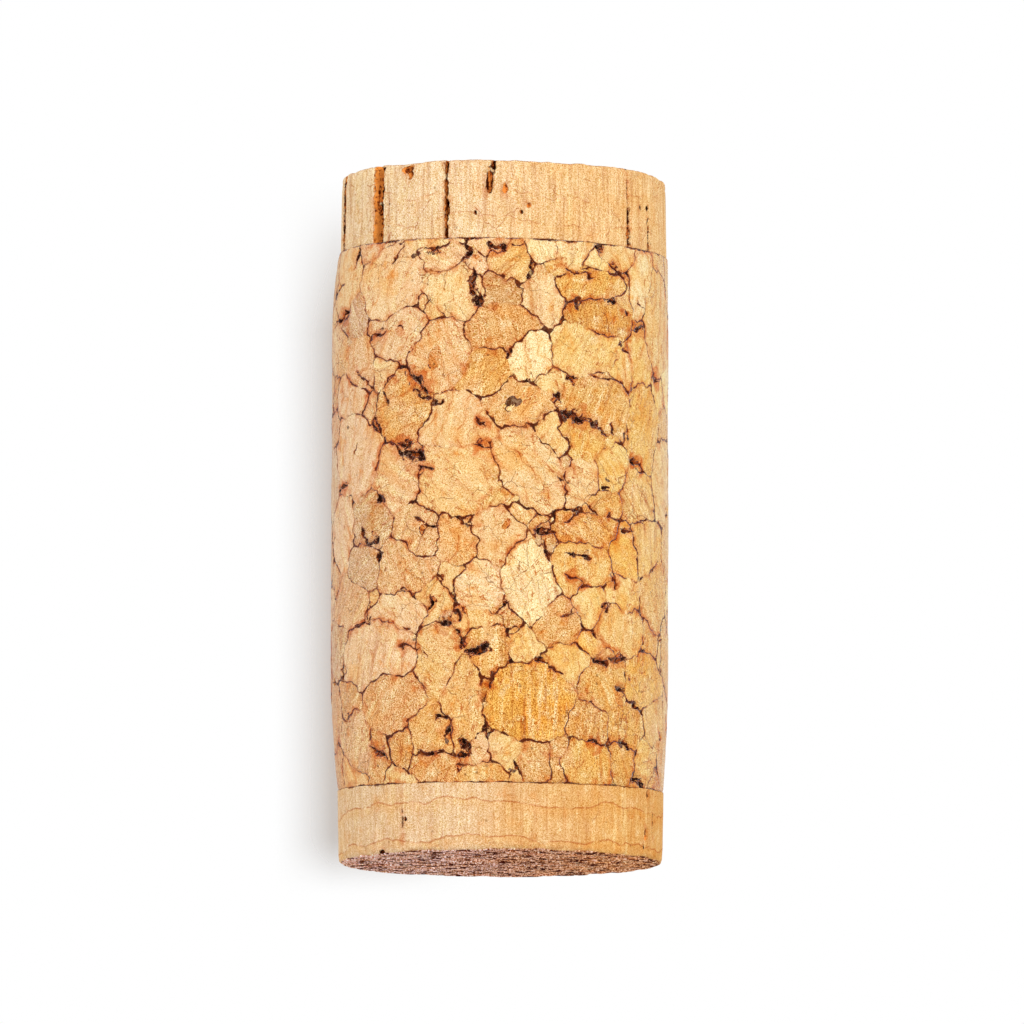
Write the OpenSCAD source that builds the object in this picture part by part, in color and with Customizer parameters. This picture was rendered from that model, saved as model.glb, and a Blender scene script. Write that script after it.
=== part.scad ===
// Cork stopper of the technical kind: a body pressed from glued cork granules,
// with a disc of natural cork glued on each end. Millimetres, +Z along the axis.
// The origin is at the centre of the lower end face, on which the stopper stands.

/* [Granule body] */
// Greatest diameter, over the straight middle that a bottle's neck grips
body_d = 24; // [18:0.1:30]
// Height between the two discs
body_h = 38.2; // [24:0.1:60]
// How far the radius draws in from the middle to each disc
draw_in = 0.35; // [0.1:0.05:1]
// Height of the curve at each end over which it draws in
draw_h = 6; // [2:0.5:10]

/* [Natural cork discs] */
// Thickness of the upper disc
top_disc_h = 5.7; // [4:0.1:9]
// Thickness of the lower disc
bottom_disc_h = 5.1; // [4:0.1:9]
// How far a disc's radius tapers in from its glue line to its end face
disc_taper = 0.08; // [0:0.02:0.3]
// Radius of the worn edge round each end face
rim_r = 0.35; // [0.1:0.05:0.8]

/* [Lenticels] */
// Depth of the open channels that run down the upper disc's side
channel_depth = 0.9; // [0.2:0.1:2]
// Share of its mouth's width that a lenticel still has at its floor
channel_floor = 0.4; // [0.1:0.1:1]
// How far below the upper end face the shortest channel starts
short_channel_top = 3.1; // [2:0.1:3.8]
// Depth of the short pits and slits
pit_depth = 0.5; // [0.2:0.1:1.5]

/* [Chipped rim] */
// Where the chip in the upper rim lies, in degrees from the front
chip_angle = -29; // [-180:1:180]
// Width of the chip
chip_w = 1.3; // [0.5:0.1:3]
// How far the chip reaches down the side and in over the end face
chip_h = 0.4; // [0.1:0.05:0.8]

/* [Hidden] */
$fn = 96;

body_r = body_d / 2;
disc_r = body_r - draw_in;          // radius of both discs and of the body at the glue lines
face_r = disc_r - disc_taper;       // radius at the end faces, before the edge is rounded
body_z = bottom_disc_h;
top_z = body_z + body_h;
draw_r = (draw_h * draw_h + draw_in * draw_in) / (2 * draw_in);  // arc that meets the straight middle
draw_angle = asin(draw_h / draw_r);
draw_steps = 6;
rim_steps = 5;

// A cut that reaches an end face or a glue line runs past it by this much
overrun = 1;

// Lenticels on a disc's side, all open to the outside. Each is [degrees from the front,
// width, upper end, lower end], with its ends measured in from the disc's end face.
channels = [
    [-78, 0.80, 0, top_disc_h],
    [-50, 1.20, 0, top_disc_h],
    [-21, 0.40, 0, top_disc_h],
    [ 50, 0.30, 0, top_disc_h],
    [ 62, 0.28, short_channel_top, top_disc_h],
];
top_pits = [
    [-35, 0.90, 0.6, 1.2],
    [ -5, 0.60, 0.6, 2.4],
    [-44, 0.30, 3.1, 3.5],
];
bottom_pits = [
    [-36, 0.20, 1.7, 2.8],
];

function arc(x, z, r, from, to, steps) =
    [for (i = [0 : steps]) let (a = from + (to - from) * i / steps) [x + r * cos(a), z + r * sin(a)]];

// A disc with its glued face at z = 0 and its end face at z = h
module disc(h) {
    rotate_extrude()
        polygon(concat(
            [[0, 0], [disc_r, 0]],
            arc(face_r - rim_r, h - rim_r, rim_r, 0, 90, rim_steps),
            [[0, h]]
        ));
}

// The lenticels of such a disc, which narrow from their mouths to their floors
module lenticels(places, depth, h) {
    for (p = places) {
        low = p[3] == h ? -overrun : h - p[3];
        high = p[2] == 0 ? h + overrun : h - p[2];
        mouth = p[1] / 2;
        floor = mouth * channel_floor;
        rotate([0, 0, p[0]])
            translate([0, -disc_r, low])
                linear_extrude(high - low)
                    polygon([
                        [-mouth, -overrun], [mouth, -overrun], [mouth, 0],
                        [floor, depth], [-floor, depth], [-mouth, 0],
                    ]);
    }
}

module chip(h) {
    rotate([0, 0, chip_angle])
        translate([-chip_w / 2, -face_r - overrun, h - chip_h])
            cube([chip_w, chip_h + overrun, chip_h + overrun]);
}

module top_disc() {
    color([0.94, 0.78, 0.57])
        translate([0, 0, top_z])
            difference() {
                disc(top_disc_h);
                lenticels(channels, channel_depth, top_disc_h);
                lenticels(top_pits, pit_depth, top_disc_h);
                chip(top_disc_h);
            }
}

module granule_body() {
    color([0.89, 0.69, 0.45])
        translate([0, 0, body_z])
            rotate_extrude()
                polygon(concat(
                    [[0, 0]],
                    arc(body_r - draw_r, draw_h, draw_r, -draw_angle, 0, draw_steps),
                    arc(body_r - draw_r, body_h - draw_h, draw_r, 0, draw_angle, draw_steps),
                    [[0, body_h]]
                ));
}

module bottom_disc() {
    color([0.92, 0.73, 0.50])
        translate([0, 0, bottom_disc_h])
            mirror([0, 0, 1])
                difference() {
                    disc(bottom_disc_h);
                    lenticels(bottom_pits, pit_depth, bottom_disc_h);
                }
}

bottom_disc();
granule_body();
top_disc();
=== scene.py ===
import math
import bpy
import numpy as np
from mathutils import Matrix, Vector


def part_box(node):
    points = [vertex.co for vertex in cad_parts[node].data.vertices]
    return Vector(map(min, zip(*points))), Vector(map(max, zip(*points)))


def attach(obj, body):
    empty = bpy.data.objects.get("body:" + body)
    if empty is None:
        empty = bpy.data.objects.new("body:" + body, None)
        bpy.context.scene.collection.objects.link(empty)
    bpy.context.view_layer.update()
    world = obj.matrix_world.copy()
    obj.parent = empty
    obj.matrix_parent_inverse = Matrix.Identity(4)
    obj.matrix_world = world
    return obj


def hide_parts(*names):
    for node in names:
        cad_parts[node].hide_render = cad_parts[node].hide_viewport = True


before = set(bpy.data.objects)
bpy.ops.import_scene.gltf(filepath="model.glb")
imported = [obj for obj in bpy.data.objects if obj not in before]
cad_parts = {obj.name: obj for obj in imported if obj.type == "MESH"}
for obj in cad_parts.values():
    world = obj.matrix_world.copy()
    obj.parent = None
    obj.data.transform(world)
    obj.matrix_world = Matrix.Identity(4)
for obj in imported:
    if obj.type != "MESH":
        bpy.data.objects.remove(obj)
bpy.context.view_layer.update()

# Cork stopper: a body pressed from cork granules with a disc of natural cork glued on each end.
# Lengths in the dictionaries are millimetres, angles are degrees round the stopper from its front
# (-Y), positive towards +X, and heights are above the lower end face.

mm = 0.001


def boxInMm(node):
    # the node's lowest and highest corners, divided by the size of a millimetre
    low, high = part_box(node)
    return np.array(low) / mm, np.array(high) / mm


bodyLow, bodyHigh = boxInMm("granule_body")
topHigh = boxInMm("top_disc")[1]
bodyRadius = bodyHigh[0]
discRadius = topHigh[0]
girth = 2 * math.pi * bodyRadius

cameraView = {
    "distance": 942.0,
    "elevation": -6.4,
    "lens": 465.8,
    "aimRight": 1.05,        # how far right of the axis it aims
    "aimHeight": 25.12,
    "roll": -0.1,
}


def makeCamera(spec):
    data = bpy.data.cameras.new("camera")
    data.lens = spec["lens"]
    data.sensor_width = 36
    data.clip_start = 0.01
    data.clip_end = 10
    camera = bpy.data.objects.new("camera", data)
    bpy.context.scene.collection.objects.link(camera)
    tilt = math.radians(spec["elevation"])
    back = np.array([0, -math.cos(tilt), math.sin(tilt)]) * spec["distance"]
    aim = np.array([spec["aimRight"], 0, spec["aimHeight"]])
    camera.location = (aim + back) * mm
    camera.rotation_euler = (math.pi / 2 - tilt, math.radians(spec["roll"]), 0)
    bpy.context.scene.camera = camera
    bpy.context.scene.view_settings.view_transform = "Standard"


makeCamera(cameraView)
print("camera placed")


def smooth(low, high, value):
    # three squares less two cubes of the share of the way from low to high
    share = np.clip((value - low) / (high - low), 0, 1)
    return share * share * (3 - 2 * share)


def waves(points, length, seed, count=26):
    # the sum of count cosine waves in random directions, each 0.6 to 1.6 lengths long,
    # over the root of half their number, so its spread is about one
    rng = np.random.default_rng(seed)
    direction = rng.normal(size=(count, 3))
    direction /= np.linalg.norm(direction, axis=1)[:, None]
    pulse = direction * (2 * math.pi / (length * rng.uniform(0.6, 1.6, count)))[:, None]
    turn = rng.uniform(0, 2 * math.pi, count)
    return np.cos(points @ pulse.T + turn).sum(axis=-1) / math.sqrt(count / 2)


def turned(angle, radius, height):
    # x is radius times the sine of the angle, y less radius times its cosine, z the height
    return np.stack([radius * np.sin(angle), -radius * np.cos(angle), height + 0 * angle], axis=-1)


def onCylinder(across, height, radius=bodyRadius):
    # the body's surface, whose place across is the angle times the body's radius
    return turned(across / bodyRadius, radius, height)


def wrap(across):
    # the same place, brought within half a girth of the front
    return (across + girth / 2) % girth - girth / 2


def chance(first, second, salt=0.0):
    # the fractional part of a large multiple of a sine: the same pair always gets the same number
    low = np.minimum(first, second)
    high = np.maximum(first, second)
    return np.abs(np.modf(np.sin(low * 12.9898 + high * 78.233 + salt) * 43758.5453)[0])


def toLinear(color):
    # the curve that turns a screen's colour into light
    color = np.asarray(color, float)
    return np.where(color <= 0.04045, color / 12.92, ((color + 0.055) / 1.055) ** 2.4)


def gridCorners(rows, columns):
    # the numbers of each square's four vertices, counter-clockwise from its lower left
    row, column = np.meshgrid(np.arange(rows - 1), np.arange(columns), indexing="ij")
    after = (column + 1) % columns
    low, high = row * columns, (row + 1) * columns
    return low + column, low + after, high + after, high + column


def faceList(*corners):
    # one row of vertex numbers for each face
    return np.stack(corners, -1).reshape(-1, len(corners))


def endCap(ring, centre, points, flip):
    # closes a ring with one ring at half its radius and a pole
    count, middle = len(ring), len(points)
    points = np.concatenate([points, (points[ring] + centre) / 2, centre[None]])
    here, after = np.arange(count), (np.arange(count) + 1) % count
    pole = np.full(count, middle + count)
    faces = np.concatenate([
        faceList(ring[here], ring[after], middle + after),
        faceList(ring[here], middle + after, middle + here),
        faceList(middle + here, middle + after, pole),
    ])
    return points, faces[:, ::-1] if flip else faces


def makeMesh(name, points, triangles, pointValues, cornerValues, cornerPlaces):
    # pointValues go on vertices; cornerValues on each triangle's corners; cornerPlaces are its UVs
    mesh = bpy.data.meshes.new(name)
    mesh.vertices.add(len(points))
    mesh.vertices.foreach_set("co", (points * mm).astype(np.float32).ravel())
    mesh.loops.add(triangles.size)
    mesh.loops.foreach_set("vertex_index", triangles.astype(np.int32).ravel())
    mesh.polygons.add(len(triangles))
    mesh.polygons.foreach_set("loop_start", np.arange(0, triangles.size, 3, dtype=np.int32))
    mesh.update(calc_edges=True)
    for label, values in pointValues.items():
        layer = mesh.attributes.new(label, "FLOAT", "POINT")
        layer.data.foreach_set("value", np.asarray(values, np.float32).ravel())
    for label, values in cornerValues.items():
        kind, key = {
            4: ("FLOAT_COLOR", "color"), 3: ("FLOAT_VECTOR", "vector"), 1: ("FLOAT", "value"),
        }[values.shape[-1]]
        layer = mesh.attributes.new(label, kind, "CORNER")
        layer.data.foreach_set(key, np.asarray(values, np.float32).ravel())
    layer = mesh.uv_layers.new(name="OFBake")
    layer.data.foreach_set("uv", np.asarray(cornerPlaces, np.float32).ravel())
    mesh.shade_smooth()
    mesh.validate()
    piece = bpy.data.objects.new(name, mesh)
    bpy.context.scene.collection.objects.link(piece)
    return piece


def seatPiece(piece, node):
    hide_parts(node)
    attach(piece, "root")
    print(node, "made:", len(piece.data.polygons), "triangles")


# How the discs were glued on: a little off the axis, with joints that aren't quite square
gluing = {
    "upperShift": 0.24,      # no more than the body draws in there
    "lowerShift": 0.09,
    "upperDrop": 0.2,        # how far the joint falls at the right, and rises at the left
    "upperDip": 0.08,        # how far the joint falls at the front, and rises at the back
    "lowerDrop": 0.06,
    "lowerDip": 0.33,
    "faceDrop": 0.13,        # half of how far the upper end face falls at the right
    "fade": 7.0,             # how far into the body a joint's lean goes
}


def leanDrop(side, front, z):
    # the sine times the drop plus the cosine times the dip, full at each joint and fading both ways
    fade = gluing["fade"]
    upper = smooth(bodyHigh[2] - fade, bodyHigh[2], z) * (1 - smooth(bodyHigh[2], topHigh[2], z))
    lower = smooth(0, bodyLow[2], z) * (1 - smooth(bodyLow[2], bodyLow[2] + fade, z))
    drop = upper * (side * gluing["upperDrop"] + front * gluing["upperDip"])
    return drop + lower * (side * gluing["lowerDrop"] + front * gluing["lowerDip"])


def leanPoints(points):
    # z loses the drop and the end face's fall; x gains the shifts, the upper as the square of the
    # way through the height over which the body draws in, the lower smoothly
    x, y, z = points.T.copy()
    side, front = x / bodyRadius, -y / bodyRadius
    tall = granuleBody["drawHeight"]
    share = np.clip((z - bodyHigh[2] + tall) / tall, 0, 1) ** 2
    z = z - leanDrop(side, front, z)
    z = z - smooth(bodyHigh[2], topHigh[2], z) * (1 + side) * gluing["faceDrop"]
    lowShare = 1 - smooth(bodyLow[2] - 1, bodyLow[2] + 6, z)
    return np.stack([x + share * gluing["upperShift"] + lowShare * gluing["lowerShift"], y, z], axis=-1)


def asSeen(angle, height):
    # the place round the body and the height that lean to where the lists say
    turn = math.radians(angle)
    return turn * bodyRadius, height + leanDrop(math.sin(turn), math.cos(turn), height)


# Screen colours of the granules
granuleTones = {
    "cream": (0.955, 0.81, 0.55),
    "pale": (0.94, 0.775, 0.55),
    "rose": (0.925, 0.735, 0.50),
    "gold": (0.94, 0.755, 0.475),
    "honey": (0.945, 0.72, 0.375),
    "tan": (0.92, 0.72, 0.455),
    "amber": (0.92, 0.70, 0.43),
    "rust": (0.86, 0.55, 0.26),
    "grey": (0.88, 0.72, 0.52),
    "bark": (0.40, 0.27, 0.19),
}

# Granules of the front, as angle, height, width, height of the granule, lean and tone
frontGranules = [
    (-42, 40.2, 5.9, 5.5, 0, "tan"), (-50, 42.8, 2.9, 1.4, 0, "pale"), (-68, 41, 4.6, 5, 0, "cream"),
    (-58, 38.2, 3.3, 3.5, 0, "grey"), (-20, 42.1, 3.3, 1.8, 0, "rose"), (-19, 43, 2.5, 0.6, 0, "cream"),
    (-16, 39.4, 4.6, 4, 0, "cream"), (-23, 38.4, 2.3, 2.6, 0, "gold"), (-9, 41.3, 1.3, 2, 0, "pale"),
    (-3, 39.6, 2.5, 2.3, 0, "grey"), (-4, 42.6, 3.1, 1.4, 0, "rose"), (-37, 36.8, 5.4, 4.2, 0, "pale"),
    (-56, 34.6, 3.8, 5, 0, "rose"), (-44, 34, 2.7, 3, 0, "gold"), (-21, 35, 5, 5.2, 0, "rose"),
    (-35, 31.6, 4.8, 5, 0, "gold"), (2, 36.7, 5.2, 3, 0, "rose"),
    (-6, 33.4, 4.2, 3.5, 0, "gold"), (-14, 30.3, 5.6, 4, 0, "tan"), (-62, 32.7, 5, 3.5, 0, "rose"),
    (-60, 28.6, 6, 6, 0, "rose"), (-76, 36, 4.4, 3.5, 0, "tan"), (14, 42.6, 2, 1.7, 0, "cream"),
    (26, 42.3, 2.9, 2.1, 0, "cream"), (35, 41.8, 2.9, 1.8, 0, "cream"), (43, 42.6, 3.8, 2.3, 0, "pale"),
    (3, 41.7, 3.1, 2.4, 0, "gold"), (15, 39.3, 2.3, 3.4, 0, "pale"), (34, 40.1, 6.3, 2.3, 0, "gold"),
    (37, 37.6, 5.6, 3, 0, "tan"), (31, 35.7, 6, 3.8, 0, "cream"), (10, 35.1, 2.7, 4.7, 0, "cream"),
    (57, 40.6, 2.9, 5, 0, "pale"), (45, 34.8, 2.1, 2.2, 0, "gold"), (57, 35.5, 2.9, 4.2, 0, "gold"),
    (70, 38, 5, 8, 0, "pale"), (36, 31.7, 5.6, 4.5, 0, "tan"), (4, 31.5, 5.4, 3.2, 0, "amber"),
    (12, 33.2, 2.5, 1.2, 0, "cream"), (59, 30, 4.2, 7, 0, "gold"),
    (-36, 26.3, 4.2, 4.3, 0, "rose"), (-15, 26.2, 6.3, 5, 25, "gold"), (-50, 23.4, 4.2, 3.8, 0, "grey"),
    (-70, 23, 4.2, 5.5, 0, "pale"), (-30, 22.3, 4, 4.5, 0, "rose"), (-14, 21.9, 3.6, 3.5, 0, "amber"),
    (-34, 20.1, 5.2, 4.5, 0, "rose"), (-53, 20.3, 3.4, 3.8, 0, "grey"), (-16, 19.2, 1.9, 1.7, 0, "cream"),
    (-1, 22.2, 4.4, 3.8, 0, "pale"), (-7, 18.5, 3.5, 3.7, 0, "pale"), (2, 24.9, 4, 1.8, 0, "cream"),
    (10, 26.8, 4.6, 6.5, 40, "pale"), (18, 28.8, 2.7, 3, 0, "gold"), (21, 28.0, 1.1, 3.2, 30, "grey"),
    (31, 29.2, 4.6, 3.4, 0, "cream"), (29, 26.1, 3.6, 3.4, 0, "rose"), (41, 27.1, 3.8, 3.1, 0, "cream"),
    (37, 24.8, 3.6, 2.4, 0, "tan"), (56, 25.6, 4.8, 4.5, 0, "tan"), (73, 27, 4.8, 6, 0, "pale"),
    (31, 22.7, 5, 2.5, 0, "amber"), (29, 20.1, 5, 3.3, 0, "gold"), (9, 19.2, 3.6, 6.5, 0, "cream"),
    (48, 21, 3.1, 3.5, 0, "honey"), (61, 22, 4.2, 4.5, 0, "gold"), (47, 18.6, 3.6, 2.7, 0, "gold"),
    (66, 18.5, 3.8, 5.5, 0, "tan"), (12, 23, 1.2, 0.9, 0, "amber"), (17, 22.5, 1.3, 0.9, 0, "amber"),
    (15, 20.8, 0.9, 0.9, 0, "grey"), (6, 23.7, 2.5, 2.5, 0, "amber"), (33, 17.6, 2.1, 3, 0, "cream"),
    (-48, 14.2, 7.8, 5, 0, "rose"), (-37, 17, 6, 2.6, 0, "pale"), (-62, 17.9, 5.2, 3.7, 0, "rose"),
    (-24, 17.5, 2.5, 3.5, 0, "cream"), (-40, 10.8, 5.5, 5.2, 0, "rose"), (-21, 13.6, 3.6, 5, 0, "cream"),
    (-13, 10.4, 3.1, 6.5, 0, "gold"), (-24, 8.4, 4.2, 3.8, 0, "gold"), (-36, 7.6, 2.3, 3.3, 0, "tan"),
    (-46, 7.4, 2.1, 2.8, 0, "tan"), (-60, 8.2, 3.6, 4, 0, "rose"), (-62, 11, 2, 2, 0, "tan"),
    (-8, 7, 2.5, 2, 0, "rose"), (-25, 6.1, 3.8, 2, 0, "pale"), (-7, 5.6, 3.3, 0.9, 0, "gold"),
    (-8, 16.3, 4.2, 1.7, 0, "gold"), (-3, 14.2, 3, 3.5, 0, "gold"), (8, 14.6, 2.3, 2.2, 0, "cream"),
    (-3, 11.2, 1.7, 1.7, 0, "gold"), (11, 10.5, 6.7, 5.5, 0, "honey"), (5, 16.8, 2.9, 1.8, 0, "rose"),
    (21, 15.7, 3.4, 2.8, 0, "rose"), (22, 13.1, 3.1, 3.5, 0, "cream"), (46, 15.8, 5, 3.9, 0, "tan"),
    (39, 12, 4.6, 4.2, 0, "tan"), (63, 15.7, 2.5, 3.5, 0, "amber"), (59, 12.4, 5.2, 4, 0, "gold"),
    (32, 9.3, 3.8, 3.1, 0, "rose"), (49, 9.1, 3.8, 3.3, 0, "tan"), (66, 9.7, 2.9, 4, 0, "tan"),
    (32, 6.5, 4.8, 2.9, 0, "gold"), (47, 6.9, 3.6, 2.2, 0, "pale"), (61, 6.9, 3.6, 3, 0, "gold"),
    (12, 6.5, 2.7, 2.8, 0, "rose"), (2, 6.8, 2, 3.3, 55, "cream"), (20, 6.6, 1, 2.8, 0, "rose"),
]

# Small bits of cork and bark within the front's granules
frontBits = [
    (-22.7, 34.8, 0.85, 1.7, -15, "rust"), (4.4, 31.5, 1.0, 0.9, 0, "bark"),
    (3, 31.1, 0.5, 0.4, 0, "cream"), (-24.5, 42.3, 1.1, 0.35, 10, "bark"),
    (-31.5, 42.2, 0.8, 0.4, 0, "bark"), (14.5, 21.9, 0.6, 1.0, -30, "grey"),
    (-19.5, 16.5, 0.9, 0.4, 15, "grey"), (-33.5, 34.0, 0.35, 0.5, 30, "rust"),
    (20, 31.5, 0.8, 0.5, -40, "rust"), (24, 30.6, 0.7, 0.6, 0, "bark"),
    (-64, 30.4, 0.3, 0.35, 0, "bark"), (39, 23.9, 0.3, 0.5, 20, "bark"),
    (-25, 13.9, 0.5, 0.4, 40, "pale"), (3, 22.8, 0.8, 0.4, 30, "rust"),
]

# Open rifts of the front, as angle and height of their two ends, half width and how rusty they are
frontRifts = [
    (-10, 40.7, -9.4, 39.9, 0.2, 0.1), (-9.4, 39.6, -7.5, 38.6, 0.14, 0.2),
    (-41, 41.9, -37, 42.6, 0.08, 0.2), (-26, 42.5, -22, 42.5, 0.1, 0), (-13.5, 42.2, -11, 42, 0.1, 0.1),
    (-10.8, 41.9, -8.8, 41.7, 0.2, 0), (-4.6, 42.8, -2.6, 42.8, 0.12, 0.3),
    (-10, 39.4, -6, 38.6, 0.14, 0), (-73, 38.4, -63, 38.5, 0.14, 0.9), (-37, 37.1, -35, 37.2, 0.12, 0.6),
    (-48, 36.7, -43, 36.8, 0.1, 0.7), (-58, 34.5, -49, 32.5, 0.07, 0.4), (-43, 32.8, -38, 33.3, 0.08, 0.7),
    (-33, 33.5, -25, 32.7, 0.18, 0.9), (-30, 32.5, -24, 32, 0.08, 0.3), (-23, 31.7, -19, 31.7, 0.15, 0),
    (3, 42.9, 8, 43, 0.09, 0.2), (11, 41.8, 11, 41, 0.12, 0.1), (21, 41, 28, 41, 0.11, 0.4),
    (28, 41, 34, 40.7, 0.07, 0.4), (35, 42.8, 37, 42.8, 0.13, 0.6), (40, 41.6, 46, 41.1, 0.1, 0.5),
    (23, 38.5, 30, 38.4, 0.1, 0.8), (39, 38.9, 43, 38.9, 0.16, 0), (48, 38.7, 47, 37.9, 0.15, 0.9),
    (53, 39.5, 58, 38.9, 0.08, 0.2), (52, 37.4, 57, 37.3, 0.15, 0.7), (2, 34.5, 5, 35.3, 0.11, 0.2),
    (46, 35.6, 49, 35.6, 0.1, 0), (24, 33.3, 28, 32.9, 0.14, 0.7), (33, 33.6, 44, 33.4, 0.06, 0.3),
    (19, 32.1, 21, 32, 0.13, 0.2), (22, 31.4, 27, 30.8, 0.12, 0.4), (24, 30.5, 30, 30.4, 0.26, 0.8),
    (31, 30.4, 40, 29.8, 0.13, 0.4), (64, 34, 70, 34, 0.16, 1), (-38, 28.8, -31, 28.7, 0.15, 1),
    (-42, 28.3, -33, 28, 0.13, 0.6), (-34, 28, -28, 27.8, 0.27, 0.5), (-27, 27, -23, 27, 0.12, 0.8),
    (-45, 30.8, -44, 29.9, 0.08, 0.5), (-9, 30.5, -4, 29.9, 0.09, 0.9), (-10, 28.3, -4, 28.4, 0.12, 1),
    (-71, 26.2, -64, 26.5, 0.13, 0.9), (-47, 24.9, -41, 25, 0.13, 0.4), (-30, 23.3, -26, 22.9, 0.09, 0.1),
    (-26, 22.9, -21, 23.1, 0.1, 0.3), (-15, 22.9, -10, 22.9, 0.12, 0.1), (-54, 23.3, -50, 22.6, 0.12, 0.2),
    (-50, 22.5, -45, 22.4, 0.18, 0.2), (-46, 21.3, -45, 20.8, 0.17, 0), (-21, 19.5, -19, 19.3, 0.13, 0.2),
    (-24, 18.1, -23, 17.7, 0.12, 0.6), (46, 29, 48, 29.8, 0.12, 0.5), (51, 28.1, 58, 27.8, 0.14, 1),
    (20, 26.3, 23, 26.3, 0.11, 0.4), (38, 25.8, 40, 25.7, 0.11, 0.2), (25, 24, 28, 24, 0.13, 0.3),
    (22, 23.2, 30, 23.2, 0.1, 0.7), (45, 22.9, 49, 22.8, 0.1, 0.4), (13, 22.3, 16, 22.2, 0.12, 0.5),
    (12, 21.5, 18, 20.5, 0.11, 0.3), (22, 21.2, 32, 20.8, 0.14, 0.2), (54, 23.8, 62, 23.6, 0.08, 0.4),
    (22, 19.5, 32, 18.8, 0.06, 1), (43, 19.4, 44, 18.8, 0.1, 0.9), (37, 17.4, 40, 17.3, 0.12, 0.1),
    (-17, 16.9, -13, 16.5, 0.17, 0.7), (-21, 16.1, -16, 16, 0.18, 0.5), (-15, 15.3, -10, 14.5, 0.14, 0.9),
    (-9, 14.3, -4, 14.2, 0.2, 0.4), (-59, 16, -49, 16.4, 0.08, 0.2), (-36, 14.7, -31, 14.4, 0.1, 0.8),
    (-68, 13.7, -67, 13.1, 0.2, 0.1), (-66, 10.2, -65, 9.8, 0.13, 0.1), (-22, 9.2, -18, 9.3, 0.1, 0.2),
    (-20, 8.4, -20, 7.8, 0.13, 0.5), (-14, 7.9, -11, 7.1, 0.2, 0.1), (-14, 6.6, -12, 6.8, 0.12, 0.8),
    (-48, 7.4, -44, 6.8, 0.13, 0.6), (-29, 7.1, -20, 6.6, 0.1, 0.4), (-17, 5.8, -12, 5.8, 0.1, 0.8),
    (-5, 8.1, -2, 8.3, 0.1, 0.2), (0, 17, 4, 17.3, 0.09, 0.3), (21, 16.4, 26, 16.9, 0.1, 0.4),
    (35, 13.5, 40, 13.4, 0.15, 0.5), (40, 13.7, 48, 13.9, 0.16, 0.7), (12, 13.3, 14, 13.4, 0.14, 0.2),
    (16, 12.9, 20, 12, 0.1, 0.3), (45, 12.8, 50, 12.2, 0.1, 0), (44, 11.6, 48, 11.4, 0.2, 0.5),
    (53, 10.6, 60, 10.1, 0.15, 0.3), (46, 7.7, 51, 7.3, 0.14, 0.1), (31, 7.7, 37, 7.7, 0.1, 1),
    (4, 6.1, 7, 5.3, 0.12, 0.1), (54, 5.3, 62, 5, 0.2, 0.5),
]

granuleBody = {
    "columns": 434,
    "pitch": 0.178,          # between rows
    "margin": 0.3,           # the height at each end that finer rows fill
    "drawIn": 0.35,
    "drawHeight": 6.0,
    "topShare": 0.72,        # of the draw that is kept at the top, where it stands proud of the disc
    "lowShare": 1.3,
    "lowHeight": 9.0,
    "wavers": ((2.2, 0.13), (0.7, 0.06)),    # length and reach of the bends in the outlines
    "riftWavers": ((1.4, 0.1, 0.12), (0.6, 0.04, 0.05)),    # the same of the rifts, across and up
    "packing": 0.85,         # how close thrown granules may lie, as a share of their sizes
    "fills": ((1.9, 2.9, 500), (1.2, 1.9, 900), (0.7, 1.2, 1500)),    # half sizes from and to, throws
    "toneOdds": (0.17, 0.17, 0.26, 0.12, 0.02, 0.15, 0.05, 0, 0.08),     # of the tones at the left
    # the fill granules turn from rose towards gold at the right, partly as painted warm light there
    "toneTurns": (0, 0, -0.16, 0.14, 0.06, 0, 0, 0, -0.06),    # how they change towards the right
    "bitForce": 600.0,
    "crumbSizes": (0.12, 0.28),
    # count, angles from and to, lengths from and to, and greatest half width
    "backRifts": (110, 76, 284, 0.5, 2.2, 0.16),
    "shortRifts": (90, 0, 360, 0.3, 0.9, 0.08),
    # half widths of the seams, against chance from nought to one
    "lineWidths": ((0, 0.12, 0.3, 0.8, 1), (0.003, 0.012, 0.022, 0.032, 0.055)),
    "junctionGap": 0.09,
    "outlineGap": 0.03,      # of the small bits
    "grooveDepth": 0.035,
    # painted light: the right side's granules turn less blue and the left's bluer, for warm and cool light
    "sideHue": 0.05,         # how much less blue the right side's granules are than the front's
    "lowHue": 0.07,          # how much less blue they are 20 mm lower
    "deepest": 0.55,         # of the rifts
    "edgeWear": 0.06,        # how far both ends' edges are worn in
    "inset": 0.05,           # how far the lowest granule lies below the highest
    "gloss": 0.08,
    "sheen": 0.6,
    "stain": 0.8,            # how strongly rust, fringes and hairlines show
    "fringe": 0.9,
    "hairline": 0.75,
}


def listedGranules(spec):
    # the front's granules, and the small bits, which keep their place by force. One row each:
    # place, height, half sizes, lean, tone and force
    names = list(granuleTones)
    return [
        (*asSeen(angle, height), wide / 2, tall / 2, math.radians(lean), names.index(tone), force)
        for granules, force in ((frontGranules, 1), (frontBits, spec["bitForce"]))
        for angle, height, wide, tall, lean, tone in granules
    ]


def riftCrumbs(rng, spec):
    # a crumb lies in each rift of more than 0.09 half width, and two more in those past 0.15
    names = list(granuleTones)
    crumbs = []
    for start, startHeight, end, endHeight, width, rust in frontRifts:
        for crumb in range(int(width > 0.09) + 2 * int(width > 0.15)):
            share = rng.uniform(0, 1)
            place, height = asSeen(start + (end - start) * share,
                                   startHeight + (endHeight - startHeight) * share)
            size = rng.uniform(*spec["crumbSizes"])
            tone = names.index(rng.choice(["amber", "rust", "tan", "bark"]))
            jolt = rng.normal(0, 0.2, 2)
            tall = size * rng.uniform(0.6, 1.1)
            crumbs.append((place + jolt[0], height + jolt[1], size, tall, 0, tone, spec["bitForce"]))
    return crumbs


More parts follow.
